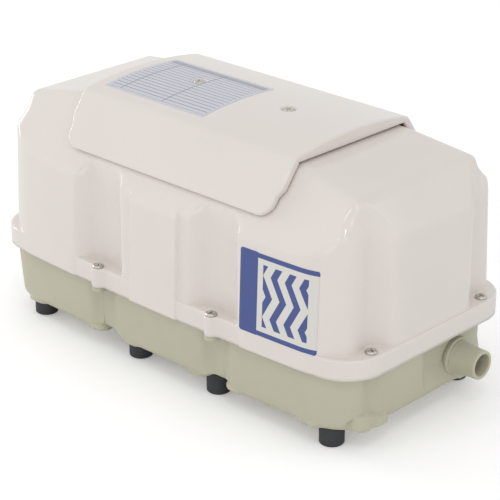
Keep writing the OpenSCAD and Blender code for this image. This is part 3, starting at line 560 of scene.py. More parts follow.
def moulded(w, base):
    """Semi-gloss moulding: faint clouds of colour, a rippled gloss and a little dust."""
    dust = w.noise(520, 2) * w.noise(26, 2)
    return {
        "Base Color": (w.noise(14, 3) * 0.8 + dust * 0.35).shaded(base, 1.03, 0.955),
        "Roughness": 0.09 + 0.08 * w.noise(60, 3),
        "Normal": (w.noise(190, 1) + 0.3 * w.noise(900, 2)).bumped(0.07, 0.4 * MM),
    }


def satin(w, base):
    """Satin moulding of the tank: mottled tone and a fine grain."""
    return {
        "Base Color": w.noise(18, 4).shaded(base, 1.06, 0.93),
        "Roughness": 0.42 + 0.14 * w.noise(45, 3),
        "Normal": (w.noise(260, 1) + 0.5 * w.noise(1500, 2)).bumped(0.12, 0.4 * MM),
    }


def rubbery(w, base):
    """Matt rubber: a bloom of paler dust and a rough grain."""
    bloom = w.noise(70, 4)
    return {
        "Base Color": bloom.shaded(base, 0.8, 1.6),
        "Roughness": 0.5 + 0.25 * bloom,
        "Normal": w.noise(1300, 3).bumped(0.25, 0.3 * MM),
    }


def plated(w, base):
    """Bright plate: fine scratches one way and a slightly uneven shine."""
    scratch = w.noise(900, 2, (1, 0.08, 1))
    return {
        "Base Color": scratch.shaded(base, 0.86, 1.1),
        "Roughness": 0.26 + 0.2 * w.noise(240, 3),
        "Normal": scratch.bumped(0.06, 0.2 * MM),
    }


def spangled(w, base):
    """Zinc plate: flat crystals of differing tone."""
    crystal = w.cells(130)
    return {
        "Base Color": crystal.shaded(base, 0.8, 1.2),
        "Roughness": 0.3 + 0.35 * crystal,
        "Normal": w.noise(500, 2).bumped(0.08, 0.2 * MM),
    }


def as_cast(w, base):
    """Cast alloy: a grainy skin with cloudy tone."""
    grain = w.noise(800, 4)
    return {
        "Base Color": w.noise(60, 3).shaded(base, 0.85, 1.08),
        "Roughness": 0.42 + 0.25 * grain,
        "Normal": grain.bumped(0.35, 0.4 * MM),
    }


def laminated(w, base):
    """Stacked sheets along X: a line at each half millimetre under thin varnish."""
    x, _, _ = w.axes()
    line = w.math("PINGPONG", x * 1000, 0.5)
    return {
        "Base Color": (line * 0.7 + w.noise(90, 3) * 0.5).shaded(base, 0.7, 1.6),
        "Roughness": 0.3 + 0.3 * w.noise(70, 2),
        "Normal": line.bumped(0.3, 0.3 * MM),
    }


def enamelled(w, base):
    """Wound wire: tone that changes from turn to turn under a clear enamel."""
    turn = w.noise(420, 2, (0.15, 0.15, 1))
    return {"Base Color": turn.shaded(base, 0.7, 1.25), "Roughness": 0.22 + 0.2 * turn}


def sintered(w, base):
    """Pressed bronze powder: fine open pores."""
    pore = w.noise(2200, 2)
    return {
        "Base Color": pore.shaded(base, 0.75, 1.15),
        "Roughness": 0.4 + 0.3 * pore,
        "Normal": pore.bumped(0.2, 0.2 * MM),
    }


def natural(w, base):
    """Unpainted nylon: waxy, with faint flow clouds."""
    cloud = w.noise(90, 3)
    return {"Base Color": cloud.shaded(base, 0.95, 1.02), "Roughness": 0.38 + 0.2 * cloud}


def open_foam(w, base):
    """Open foam: round cells with painted light on their raised middles and painted shade in the hollows
    between them, under random tone.
    """
    cell = w.cells(620, "SMOOTH_F1")
    dust = w.noise(40, 3)
    return {
        # The colour goes from painted light at each cell's middle to painted shade in the hollows, plus
        # random tone from the dust noise.
        "Base Color": (cell * 0.8 + dust * 0.4).shaded(base, 1.7, 0.4),
        "Roughness": 0.85 + 0.1 * dust,
        "Normal": (1 - cell).bumped(0.8, MM),
    }


FINISH_OF_SLOT = {
    "hood_plastic": (moulded, "hood", {"IOR": 1.5}),
    "tank_plastic": (satin, "tank", {"IOR": 1.48}),
    "black_rubber": (rubbery, "rubber", {"IOR": 1.5}),
    "bright_steel": (plated, "steel", {"Metallic": 1.0}),
    "zinc_plate": (spangled, "zinc", {"Metallic": 1.0}),
    "cast_alloy": (as_cast, "alloy", {"Metallic": 1.0}),
    "lamination_steel": (laminated, "lamination", {"Metallic": 0.8}),
    "copper_wire": (enamelled, "copper", {"Metallic": 0.7, "Coat_Weight": 0.6}),
    "bronze": (sintered, "bronze", {"Metallic": 0.9}),
    "nylon": (natural, "nylon", {"IOR": 1.53}),
    "filter_mat": (open_foam, "mat", {"IOR": 1.45}),
}


def finish(slot):
    """The material of a slot, in its colour."""
    sockets_of, key, constants = FINISH_OF_SLOT[slot]
    base = getattr(bpy.context.scene.air_pump.finishes, key)
    return material(f"{slot}_finish", sockets_of, base, **constants)


# Hood and filter cover

TRAY_FLOOR_Z = FILTER_LOW.z
SHEET = 0.3 * MM
SCREW_X = 55 * MM
SCREW_SEAT = 2.6 * MM
SIDE_SCREW_Y = 112.9 * MM
CORNER_SCREW = (215 * MM, 72.9 * MM)
BOSS_RADIUS = 6.5 * MM
SKIRT_INSET = 0.8 * MM
POCKET_VALLEY = (205 * MM, 64 * MM)
POCKET_END = (233.5 * MM, 41 * MM)
POCKET_LEAN = (0.12, -0.35)
POCKET_TURN = (180 * MM, 208 * MM)
LAND_STEP = 1.1 * MM
COVER_GAP = 1.2 * MM
COVER_FILLET = 1.6 * MM
COVER_CORNER = 13 * MM
COVER_STEP_IN = 0.03
COVER_BEND = 5 * MM
SEAT_EDGE = (5.6 * MM, 7.4 * MM)


def hood_field(s):
    """Distance to the outside of the hood: walls, slopes and roof overlap, the side recesses and the
    corner pockets are taken away, and the skirt with its screw bosses is joined on."""
    half_length = s.length / 2
    end_x = half_length - s.end_setback
    end_top = end_x - s.end_draft

    def field(p):
        x, y, z = np.abs(p[..., 0] - CENTRE_X), np.abs(p[..., 1]), p[..., 2]
        bow = s.bow * (x / (half_length - s.corner)) ** 2
        land = ramp(x, s.panel_half - LAND_STEP, s.panel_half + LAND_STEP)
        land = s.land_depth * land * (1 - ramp(x, s.recess_x - s.recess_half, s.recess_x))
        wall = edge(y + bow + land, z, (s.half_depth, s.ledge_z), (s.half_depth - s.draft, s.shoulder_z))
        end = edge(x, z, (end_x, s.ledge_z), (end_top, s.end_shoulder_z))
        slope = edge(y, z, (s.shoulder_y, s.shoulder_z), (s.roof_y, s.roof_z))
        end_slope = edge(x, z, (end_top, s.end_shoulder_z), (s.roof_end_x, s.roof_end_z))
        roof = round_max(z - s.roof_z, edge(x, z, (s.roof_end_x, s.roof_end_z), (s.roof_x, s.roof_z)),
                         3 * MM)
        walls = round_max(wall, end, s.wall_corner)
        body = round_max(walls, round_max(slope, end_slope, 4 * MM), 2.4 * MM)
        body = round_max(body, roof, 5 * MM)
        recess = groove(x - s.recess_x, y - s.recess_y, s.recess_half, 2 * MM)
        lean = POCKET_LEAN[0] + (POCKET_LEAN[1] - POCKET_LEAN[0]) * ramp(z, *POCKET_TURN)
        pocket = round_max(POCKET_VALLEY[0] + (y - POCKET_VALLEY[1]) * lean - x,
                           -edge(x, y, POCKET_END, POCKET_VALLEY), 5 * MM)
        body = round_max(round_max(body, -recess, 2.2 * MM), -pocket, 6 * MM)
        plan = round_max(x - half_length, y + bow - s.half_depth + SKIRT_INSET, s.corner)
        boss = np.hypot(x - s.recess_x, y - SIDE_SCREW_Y) - BOSS_RADIUS
        skirt = round_max(round_min(plan, boss, 3 * MM), z - s.ledge_z, 1.8 * MM)
        return round_min(skirt, body, 0.8 * MM)

    return field


class PUMP_OT_hood(bpy.types.Operator):
    """Build the moulded hood with its filter tray"""

    bl_idname = "air_pump.hood"
    bl_label = "Hood"

    def execute(self, context):
        s = context.scene.air_pump.hood
        field = hood_field(s)
        columns, rows, inner_rows = 420, 116, 48
        rays = shared_columns(field, (s.ledge_z - 8 * MM, 130 * MM), columns)
        outer = shell(field, 0, rays, s.seam_z, 1, rows)
        inner = shell(field, -s.wall, rays, s.seam_z, 1, inner_rows)
        start, direction = rays
        floor_z = TRAY_FLOOR_Z - s.wall
        corners = (0, TRAY_FLOOR_Z), (0, floor_z), (s.wall, floor_z), (s.wall, s.roof_z - s.wall)
        tray = np.array([at_height(start + out * direction, z) for out, z in corners])
        near = np.linalg.norm(inner[..., :2] - start, axis=-1) < s.wall
        inner = np.where(near[..., None], tray[-1], inner)
        parts = [surface(np.concatenate([outer, tray, inner[::-1]]), wrap_rows=True)]
        parts += self.tray_floor(s, floor_z)
        add_piece("hood_shell", parts, "hood", "hood_plastic", "hood")
        return {"FINISHED"}

    def tray_floor(self, s, floor_z):
        """Slotted floor of the tray, let into its walls, and the two posts for the cover screws."""
        slots, pitch, half, slot_end = 9, 22 * MM, 4.5 * MM, 44 * MM
        middle = (np.arange(slots) - (slots - 1) / 2) * pitch
        reach = np.array(TRAY_HALF) + MM
        xs = np.sort(np.concatenate([middle - half, middle + half, [-reach[0], reach[0]]])) + CENTRE_X
        ys = np.array([-reach[1], -slot_end, slot_end, reach[1]])
        solid = np.ones((len(xs) - 1, 3), bool)
        solid[1::2, 1] = False
        hole, foot, top = 2.1 * MM, TRAY_FLOOR_Z + MM, COVER_HIGH.z - SCREW_SEAT - s.wall - COVER_GAP
        profile = [(0, foot), (hole, foot), (hole, top), (6.2 * MM, top), (7 * MM, top - 0.8 * MM),
                   (7.4 * MM, floor_z), (0, floor_z)]
        posts = [revolve(profile, (CENTRE_X + side * SCREW_X, 0, 0)) for side in BOTH]
        return [slotted_plate(xs, ys, solid, floor_z, TRAY_FLOOR_Z), *posts]


def cover_height(s, y):
    """Height of the outside of the cover: a parabola over the top and a straight drape down the
    slope, blended over a soft bend."""
    y = np.abs(y)
    top = COVER_HIGH.z - SHEET
    crown = top - (top - s.cover_edge_z) * (y / s.cover_edge_y) ** 2
    fall = (s.cover_edge_z - s.cover_end_z) / (s.cover_end_y - s.cover_edge_y)
    drape = s.cover_edge_z - (y - s.cover_edge_y) * fall
    bend = np.maximum(COVER_BEND - np.abs(crown - drape), 0) ** 2 / (4 * COVER_BEND)
    return np.minimum(crown, drape) - bend


class CoverPath:
    """The cover's cross-section as a path from its crest: place and outward normal by length along it."""

    def __init__(self, s, fine=2000):
        self.y = np.linspace(0, s.cover_end_y, fine)
        self.z = cover_height(s, self.y)
        step = np.hypot(np.diff(self.y), np.diff(self.z))
        self.length = np.concatenate([[0], np.cumsum(step)])
        self.fall = np.gradient(self.z, self.y)

    def place(self, flat, depth):
        """Points at (x, length along the path) moved inwards by depth."""
        along = np.abs(flat[..., 1])
        sign = np.where(flat[..., 1] < 0, -1, 1)
        y, z, fall = (np.interp(along, self.length, a) for a in (self.y, self.z, self.fall))
        inwards = depth / np.hypot(fall, 1)
        return np.stack([flat[..., 0] + CENTRE_X, sign * (y + inwards * fall), z - inwards], -1)


class PUMP_OT_filter_cover(bpy.types.Operator):
    """Build the filter cover that lies over the hood's roof and slopes"""

    bl_idname = "air_pump.filter_cover"
    bl_label = "Filter cover"

    def execute(self, context):
        s = context.scene.air_pump.hood
        path = CoverPath(s)
        fillet, corner, bend, near = COVER_FILLET, COVER_CORNER, s.cover_edge_y, 9 * MM
        half = (COVER_HIGH.x - COVER_LOW.x) / 2 - fillet
        reach = path.length[-1] - fillet
        u = eased(mirrored(SCREW_X - near, SCREW_X, SCREW_X + near, half), 13) / half
        v = eased(mirrored(near, bend - near, bend, bend + near, reach - corner, reach), 11)
        grid = rounded_grid(u, v, half, corner)
        step_in = ramp(np.abs(grid[..., 1]), reach - 2.1 * corner, reach - 1.3 * corner)
        grid[..., 0] *= 1 - COVER_STEP_IN * step_in

        def room(flat):
            """Depth from the outside of the cover to the running gap over the hood."""
            at = path.place(flat, 0)
            y, z = np.abs(at[..., 1]), at[..., 2]
            slope = edge(y, z, (s.shoulder_y, s.shoulder_z), (s.roof_y, s.roof_z))
            return np.maximum(slope, z - s.roof_z) - COVER_GAP

        def dimple(flat):
            """Depth of the round seats under the two screws."""
            spot = np.hypot(np.abs(flat[..., 0]) - SCREW_X, flat[..., 1])
            return SCREW_SEAT * (1 - ramp(spot, *SEAT_EDGE))

        loop, outwards = outline_of(grid)
        deep = room(loop)
        inner = grid * [1 - s.wall / half, 1 - s.wall / reach]
        inner_loop, _ = outline_of(inner)
        rim = [path.place(loop + fillet * math.sin(a) * outwards, fillet * (1 - math.cos(a)))
               for a in np.radians(np.linspace(0, 90, 7))]
        rim += [path.place(loop + out * outwards, share * deep) for out, share in (
            (fillet, 0.6), (fillet, 0.93), (0.7 * fillet, 1.0), (-s.wall * 0.6, 1.0), (-s.wall, 0.9))]
        rim += [path.place(flat, np.minimum(s.wall, deep))
                for flat in (loop - s.wall * outwards, inner_loop)]
        under = np.minimum(s.wall, room(grid)) + dimple(grid) * 0.8
        parts = [surface(path.place(grid, dimple(grid)), wrap_columns=False), surface(np.array(rim)),
                 surface(path.place(inner, under), wrap_columns=False)]
        add_piece("filter_cover_shell", parts, "filter_cover", "hood_plastic", "filter_cover")
        return {"FINISHED"}


class PUMP_OT_filter_mat(bpy.types.Operator):
    """Build the foam mat in the filter tray"""

    bl_idname = "air_pump.filter_mat"
    bl_label = "Filter mat"

    def execute(self, context):
        half = (FILTER_HIGH - FILTER_LOW) / 2
        centre = (FILTER_HIGH + FILTER_LOW) / 2
        height = FILTER_HIGH.z - FILTER_LOW.z
        grid = rounded_grid(bordered(1, 0.9, 20), bordered(half.y, 0.85, 16), half.x, 3 * MM)

        def place(flat, depth):
            """Top with a slack edge and a shallow ripple; depth runs straight down, just short of the
            tray."""
            x, y = flat[..., 0], flat[..., 1]
            border = np.maximum(np.abs(x) / half.x, np.abs(y) / half.y)
            slack = 1.6 * MM * ramp(border, 0.9, 1.0)
            ripple = 0.25 * MM * np.sin(x * 190) * np.cos(y * 230)
            top = FILTER_HIGH.z - 0.3 * MM + (ripple - slack) * (1 - depth / height)
            return np.stack([x + centre.x, y + centre.y, top - 0.97 * depth], -1)

        parts = skin(place, grid, height, 6)
        piece = add_piece("filter_mat", parts, "hood", "filter_mat", "filter_element")
        return {"FINISHED"}


# Tank base, feet and outlet

LIP_HALF = (203 * MM, 97 * MM)
LIP_CORNER = 30 * MM
LIP_BOW = 6 * MM
LIP_WALL = 8 * MM
LIP_TOP_Z = 78 * MM
BASE_TOP_Z = 72.4 * MM
LUG_RADIUS = 6 * MM
LUG_HEIGHT = 4.5 * MM
FLUTE = (225.5 * MM, 73 * MM)
FLUTE_RADIUS = 13 * MM
ARCH_END_Y = 78 * MM
NOTCH = (211 * MM, 88.5 * MM)
NOTCH_RADIUS = 6.5 * MM
NOTCH_Z = 32 * MM
NOTCH_TURN = math.radians(40)
NOTCH_FALL = 0.6
SIDE_PADS = (41 * MM, 89.5 * MM, 173 * MM)
SIDE_PAD_Y = 96.5 * MM
SIDE_PAD_RADIUS = 9 * MM
SIDE_PAD_STRAIGHT = (4 * MM, 0)
END_PAD = (208.6 * MM, 60 * MM)
END_PAD_RADIUS = 11 * MM
END_PAD_STRAIGHT = (0, 2 * MM)
END_BOSS = (206.6 * MM, 75 * MM)
END_BOSS_RADIUS = 11.5 * MM
END_BOSS_Z = 34.5 * MM
LESSER_LEAN = 0.3
STEP_LEAN = 0.24
INNER_FOOT_X = 50.2 * MM
OUTLET_Y = (OUTLET_LOW.y + OUTLET_HIGH.y) / 2
OUTLET_Z = (OUTLET_LOW.z + OUTLET_HIGH.z) / 2


def lip_field(p):
    """Distance to the outline of the tank's raised lip, in plan."""
    x, y = np.abs(p[..., 0] - CENTRE_X), np.abs(p[..., 1])
    bow = LIP_BOW * (x / (LIP_HALF[0] - LIP_CORNER)) ** 2
    return round_max(x - LIP_HALF[0], y + bow - LIP_HALF[1], LIP_CORNER)


def base_field(s):
    """Distance to the outside of the tank: bowed and drafted walls over a rounded bottom, less the
    side recesses and their arches, the corner flutes and notches and the recess behind the outlet, with
    pads along the bottom edge and lugs under the side screws joined on."""
    half_length = (BASE_HIGH.x - BASE_LOW.x) / 2
    height = BASE_TOP_Z - BASE_LOW.z
    slant = math.cos(NOTCH_TURN), -math.sin(NOTCH_TURN)

    def field(p):
        right, x, y, z = p[..., 0] - CENTRE_X, np.abs(p[..., 0] - CENTRE_X), np.abs(p[..., 1]), p[..., 2]

        def post(place, straight=(0, 0)):
            """Distance in plan from a point, or from a straight stretch that far to both sides of it."""
            off = [np.maximum(np.abs(a - b) - c, 0) for a, b, c in zip((x, y), place, straight)]
            return np.hypot(*off)

        lean = s.draft * (BASE_TOP_Z - z) / height
        bow = s.bow * (x / (half_length - s.corner)) ** 2
        long_side = y - s.half_depth + np.maximum(bow, lean) + np.minimum(bow, lean) * LESSER_LEAN
        wall = round_max(x - half_length + lean, long_side, s.corner)
        recess = groove(x - s.recess_x, y - s.recess_y, s.recess_half, 3 * MM)
        wall = round_max(wall, -recess, 3.5 * MM)
        wall = round_max(wall, FLUTE_RADIUS - post(FLUTE), 3 * MM)

        behind = right - s.outlet_wall_x - STEP_LEAN * np.maximum(OUTLET_Z - z, 0)
        stepped = round_max(behind, long_side, s.corner)
        stepped = round_min(stepped, (p[..., 1] - s.outlet_step_y + behind) / math.sqrt(2), 2 * MM)
        wall = round_max(wall, stepped, 2 * MM)
        body = round_max(wall, BASE_LOW.z - z, s.fillet)

        arch = groove(x - s.recess_x, s.arch_z - z, s.recess_half + 2 * MM, 3 * MM)
        arch = round_max(arch, ARCH_END_Y - y, 4 * MM)
        body = round_max(body, -arch, 3 * MM)
        across = slant[0] * (y - NOTCH[1]) + slant[1] * (x - NOTCH[0])
        notch = round_max(post(NOTCH) - NOTCH_RADIUS, z - NOTCH_Z + NOTCH_FALL * across, 2 * MM)
        body = round_max(body, -notch, 1.5 * MM)

        side_pad = np.min([post((pad, SIDE_PAD_Y), SIDE_PAD_STRAIGHT) for pad in SIDE_PADS], axis=0)
        side_pad = round_max(side_pad - SIDE_PAD_RADIUS, z - s.pad_z, 3 * MM)
        end_pad = post(END_PAD, END_PAD_STRAIGHT) - END_PAD_RADIUS
        end_pad = round_max(end_pad, z - s.end_pad_z, 1.2 * MM)
        boss = round_max(post(END_BOSS) - END_BOSS_RADIUS, z - END_BOSS_Z, 2 * MM)
        pads = np.minimum(side_pad, round_min(end_pad, boss, 2 * MM))
        pads = round_max(round_max(pads, BASE_LOW.z - z, 2.5 * MM), stepped, 2 * MM)
        body = round_min(body, pads, 0.6 * MM)
        lug = np.hypot(x - s.recess_x, np.maximum(y - SIDE_SCREW_Y, 0)) - LUG_RADIUS
        lug = round_max(lug, BASE_TOP_Z - LUG_HEIGHT - z, 1.2 * MM)
        return round_min(body, lug, 1.5 * MM)

    return field


class PUMP_OT_tank_base(bpy.types.Operator):
    """Build the tank base with its lip"""

    bl_idname = "air_pump.tank_base"
    bl_label = "Tank base"

    def execute(self, context):
        s = context.scene.air_pump.base
        field = base_field(s)
        columns, rows, inner_rows = 380, 84, 36
        rays = shared_columns(field, (24 * MM, 45 * MM, BASE_TOP_Z - MM), columns)
        outer = shell(field, 0, rays, BASE_TOP_Z, -1, rows)
        inner = shell(field, -s.wall, rays, BASE_TOP_Z, -1, inner_rows)
        under_z = BASE_TOP_Z - s.wall
        inner[..., 2] = np.minimum(inner[..., 2], under_z)
        start, outwards = at_height(rays[0], BASE_TOP_Z), at_height(rays[1], 0)
        lip, inside = (cast(lip_field, level, start, outwards) for level in (0, -LIP_WALL))
        bevel = 0.6 * MM
        rim = [at_height(points, z) for points, z in (
            (inside, under_z), (inside, LIP_TOP_Z), (lip - bevel * outwards, LIP_TOP_Z),
            (lip, LIP_TOP_Z - bevel), (lip, BASE_TOP_Z + bevel), (lip + bevel * outwards, BASE_TOP_Z))]

        def closed(row):
            """Rows that draw the bottom loop in to the middle line."""
            return np.stack([row * [1, share, 1] for share in np.linspace(1, 0, 8)[1:]])

        bands = [closed(inner[-1])[::-1], inner[::-1], np.array(rim), outer, closed(outer[-1])]
        add_piece("tank_shell", [surface(np.concatenate(bands))], "base", "tank_plastic", "tank_base")
        return {"FINISHED"}


class PUMP_OT_feet(bpy.types.Operator):
    """Build the eight rubber feet"""

    bl_idname = "air_pump.feet"
    bl_label = "Rubber feet"

    def execute(self, context):
        r = context.scene.air_pump.base.foot_radius
        top, hollow, hollow_z = FEET_HIGH.z, 5.5 * MM, 8 * MM
        profile = np.concatenate([
            [(0, top), (r - 0.6 * MM, top), (r, top - 0.6 * MM), (r - 0.1 * MM, 9 * MM)],
            arc((r - 1.8 * MM, 1.8 * MM), 1.7 * MM, 0, -90, 7),
            arc((hollow + 0.8 * MM, 0.9 * MM), 0.8 * MM, -90, -180, 5),
            [(hollow, hollow_z), (0, hollow_z)]])
        profile[:, 1] = np.maximum(profile[:, 1], FEET_LOW.z)
        reach = (FEET_HIGH - FEET_LOW) / 2
        parts = [revolve(profile, (CENTRE_X + sx * x, sy * (reach.y - r), 0))
                 for sx in BOTH for sy in BOTH for x in (reach.x - r, INNER_FOOT_X)]
        add_piece("feet_rubber", parts, "base", "black_rubber", "rubber_feet")
        return {"FINISHED"}


class PUMP_OT_outlet(bpy.types.Operator):
    """Build the outlet pipe with its collar"""

    bl_idname = "air_pump.outlet"
    bl_label = "Outlet pipe"

    def execute(self, context):
        s = context.scene.air_pump.base
        wall, tip, root = CENTRE_X + s.outlet_wall_x, OUTLET_HIGH.x, OUTLET_LOW.x
        pipe, thick, bore, step, collar = 13.2 * MM, 14.2 * MM, 10 * MM, 15 * MM, 17 * MM
        face = wall + 4.5 * MM
        ring = face + 2.5 * MM
        outside = np.concatenate([
            arc((tip - 1.2 * MM, pipe - 1.2 * MM), 1.2 * MM, 0, 90),
            [(tip - 6 * MM, pipe), (ring + 0.4 * MM, thick)],
            arc((ring - 0.5 * MM, step - 0.5 * MM), 0.5 * MM, 0, 90),
            [(face + 0.3 * MM, step)],
            arc((face - 0.8 * MM, collar - 0.8 * MM), 0.8 * MM, 0, 90),
            [(wall + 0.4 * MM, collar), (wall, collar - 0.4 * MM), (wall, pipe - MM), (root, pipe - MM)]])
        mouth = arc((tip - 0.8 * MM, bore + 0.8 * MM), 0.8 * MM, 270, 360)
        inside = np.concatenate([[(root, bore)], mouth])
        profile = np.concatenate([inside, outside, inside[:1]])[:, ::-1]
        parts = [revolve(profile, (0, OUTLET_Y, OUTLET_Z), "x", 72)]
        add_piece("outlet_pipe", parts, "base", "tank_plastic", "outlet_port")
        return {"FINISHED"}


# Screws

HEAD_RADIUS = 5.25 * MM
HEAD_HEIGHT = 2.6 * MM
HEAD_BEND = 0.72
CROSS_HALF = (0.5 * MM, 0.85 * MM)
CROSS_REACH = (2.6 * MM, 3.6 * MM)
CROSS_DEPTH = 2 * MM
THREAD_PITCH = 1.4 * MM
HOOD_SHANK = (2 * MM, 21 * MM)
COVER_SHANK = (1.75 * MM, 19 * MM)


def screw(centre, shank_radius, shank_length, turn, segments=72):
    """Pan-head screw with its head seated at centre: rings of a domed head, lowered inside a cross
    whose arms narrow with depth, then the edge of the head and a threaded shank."""
    a = circle(segments)
    share = np.concatenate([np.linspace(0, HEAD_BEND, 18), [0.8, 0.88, 0.94, 0.98, 1.0]])[:, None]
    r = HEAD_RADIUS * share
    dome = HEAD_HEIGHT * (1 - 0.16 * share**2 - 0.42 * ramp(share, HEAD_BEND, 1.0) ** 2)
    arm = np.minimum(np.abs(r * np.sin(a + turn)), np.abs(r * np.cos(a + turn)))
    cross = (1 - ramp(arm, *CROSS_HALF)) * (1 - ramp(r, *CROSS_REACH))
    head = np.stack([r * np.cos(a), r * np.sin(a), dome - CROSS_DEPTH * cross], -1)
    along = np.linspace(0, shank_length, 60)
    thread = shank_radius * (0.9 + 0.1 * np.cos(along * 2 * math.pi / THREAD_PITCH))
    below = np.concatenate([[(HEAD_RADIUS, 0.3 * MM), (HEAD_RADIUS - 0.3 * MM, 0), (shank_radius, 0)],
                            np.stack([thread, -along], -1), [(0, -shank_length - MM)]])
    body, _ = revolve(below, (0, 0, 0), segments=segments)
    grid = np.concatenate([head, body.reshape(-1, segments, 3)])
    return surface(grid + np.asarray(centre))


class PUMP_OT_screws(bpy.types.Operator):
    """Build the screws of the hood and of the filter cover"""

    bl_idname = "air_pump.screws"
    bl_label = "Casing screws"

    def execute(self, context):
        s = context.scene.air_pump.hood
        places = [(sx * x, sy * y) for x, y in ((s.recess_x, SIDE_SCREW_Y), CORNER_SCREW)
                  for sx in BOTH for sy in BOTH]
        hood = [screw((CENTRE_X + x, y, s.ledge_z), *HOOD_SHANK, 0.5 + 1.3 * k)
                for k, (x, y) in enumerate(places)]
        seat_z = COVER_HIGH.z - SCREW_SEAT
        cover = [screw((CENTRE_X + sx * SCREW_X, 0, seat_z), *COVER_SHANK, 0.7 + sx) for sx in BOTH]
        add_piece("hood_screw_set", hood, "hood", "bright_steel", "hood_screws")
        add_piece("cover_screw_set", cover, "filter_cover", "bright_steel", "filter_cover_screws")
        return {"FINISHED"}


# Stuck-on sheets

FRONT_CENTRE = (145.5 * MM, 127 * MM)
TOP_CENTRE = (-54.5 * MM, -13.25 * MM)
WINDOW = 8 * MM


def front_print(w, base, ink):
    """Cream ground with a blue band at the left, a row of blue arrowheads and a blue stripe along the
    top and the bottom."""
    x, _, z = w.axes()
    u, v = x - (CENTRE_X + FRONT_CENTRE[0]), z - FRONT_CENTRE[1]
    soft = 0.3 * MM
    band = u.within(-40.5 * MM, -21.5 * MM, soft)
    head = w.math("PINGPONG", v + 18.5 * MM, 18.5 * MM) * 0.55
    arrow = w.math("PINGPONG", u - head + 4 * MM, 7.5 * MM).under(3.4 * MM, soft)
    arrow = arrow * u.within(-15.5 * MM, 31.5 * MM, soft) * abs(v).under(27.5 * MM, soft)
    stripe = abs(v).within(32.5 * MM, 36.5 * MM, soft)
    printed = w.math("MINIMUM", band + arrow + stripe, 1.0)
    tone = (w.noise(900, 2) * 0.3).shaded(ink, 1, 1.5)
    ground = w.noise(700, 2).shaded(base, 0.95, 1.03)
    return {"Base Color": printed.mixed(ground, tone), "Roughness": 0.32 + 0.1 * w.noise(150, 2)}


def ruled_card(w, base, ink):
    """Pale card with ruled rows in columns under a heading bar, like an empty service log."""
    x, y, _ = w.axes()
    u, v = x - (CENTRE_X + TOP_CENTRE[0]), y - TOP_CENTRE[1]
    soft = 0.2 * MM
    row = w.math("PINGPONG", v, 2.6 * MM) < 0.42 * MM
    column = abs(u - 8 * MM).under(0.4 * MM, soft) + abs(u + 45 * MM).under(0.4 * MM, soft)
    wide = abs(u).under(59.5 * MM, soft)
    inside = wide * abs(v).under(41.5 * MM, soft)
    heading = wide * v.within(34 * MM, 41.5 * MM, soft)
    printed = w.math("MINIMUM", (row + column) * inside + heading * 0.55, 1.0)
    ground = w.noise(500, 2).shaded(base, 0.97, 1.03)
    return {"Base Color": (printed * 0.8).mixed(ground, ink), "Roughness": 0.34 + 0.1 * w.noise(120, 2)}


class PUMP_OT_sheets(bpy.types.Operator):
    """Lay the two stuck-on sheets on the hood and on the filter cover"""

    bl_idname = "air_pump.sheets"
    bl_label = "Stuck-on sheets"

    def execute(self, context):
        settings = context.scene.air_pump
        colours = settings.finishes
        front_paint = partial(front_print, ink=tuple(colours.sheet_blue))
        top_paint = partial(ruled_card, ink=tuple(colours.card_ink))
        for name, body, parts, sockets_of, ground in (
            ("front_sheet", "hood", self.front(settings), front_paint, colours.sheet_ground),
            ("top_sheet", "filter_cover", self.top(settings), top_paint, colours.card_ground),
        ):
            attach(add_object(name, parts, material(name, sockets_of, ground)), body)
        return {"FINISHED"}

    def front(self, settings):
        """Sheet on the front wall: each point is cast on to the hood from inside and lifted off it."""
        field = hood_field(settings.hood)
        half = settings.labels.front_width / 2, settings.labels.front_height / 2
        grid = rounded_grid(np.linspace(-1, 1, 40), bordered(half[1], 0.9, 12), half[0], 2.5 * MM)

        def place(flat, depth):
            x = flat[..., 0] + FRONT_CENTRE[0] + CENTRE_X
            z = flat[..., 1] + FRONT_CENTRE[1]
            start = np.stack([x, np.full_like(x, -60 * MM), z], -1)
            on_wall = cast(field, 0, start, np.array([0.0, -1, 0]))
            on_wall[..., 1] += depth - SHEET * 0.8
            return on_wall

        return skin(place, grid, SHEET, 2)

    def top(self, settings):
        """Sheet on the cover, from its outline in to a round window about the left screw."""
        path = CoverPath(settings.hood)
        half = settings.labels.top_length / 2, settings.labels.top_depth / 2
        border = rounded_grid(np.linspace(-1, 1, 50), bordered(half[1], 0.9, 16), half[0], 2 * MM)
        loop, _ = outline_of(border)
        loop = loop + TOP_CENTRE
        spot = np.array([-SCREW_X, 0])
        away = loop - spot
        ring = spot + WINDOW * away / np.linalg.norm(away, axis=-1)[:, None]
        share = np.linspace(0, 1, 40)[:, None, None]
        flat = loop * (1 - share) + ring * share
        over, under = (path.place(flat, depth) for depth in (-SHEET / 2, SHEET / 2))
        return [surface(np.concatenate([over, under[::-1]]), wrap_rows=True)]


# Inner pieces

AXIS_Z = 145 * MM
SPRING_X = (36 * MM, 68 * MM)
SPRING_RADIUS = 15 * MM
SPRING_WIRE = 1.6 * MM
SPRING_TURNS = 5


class PUMP_OT_springs(bpy.types.Operator):
    """Build the two return springs"""

    bl_idname = "air_pump.springs"
    bl_label = "Return springs"

    def execute(self, context):
        t = np.linspace(0, 1, 361)
        turn = t * SPRING_TURNS * 2 * math.pi
        low, high = SPRING_X[0] + SPRING_WIRE + 0.2 * MM, SPRING_X[1] - SPRING_WIRE - 0.2 * MM
        along = low + (high - low) * (0.75 * t + 0.25 * ramp(t, 0, 1))
        for side, sign in SIDES.items():
            path = np.stack([CENTRE_X + sign * along, SPRING_RADIUS * np.cos(turn),
                             AXIS_Z + SPRING_RADIUS * np.sin(turn)], -1)
            piece = add_piece("spring_" + side, [tube(path, SPRING_WIRE)], None, "bright_steel",
                              "return_spring_" + side)
            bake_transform(piece)
        return {"FINISHED"}


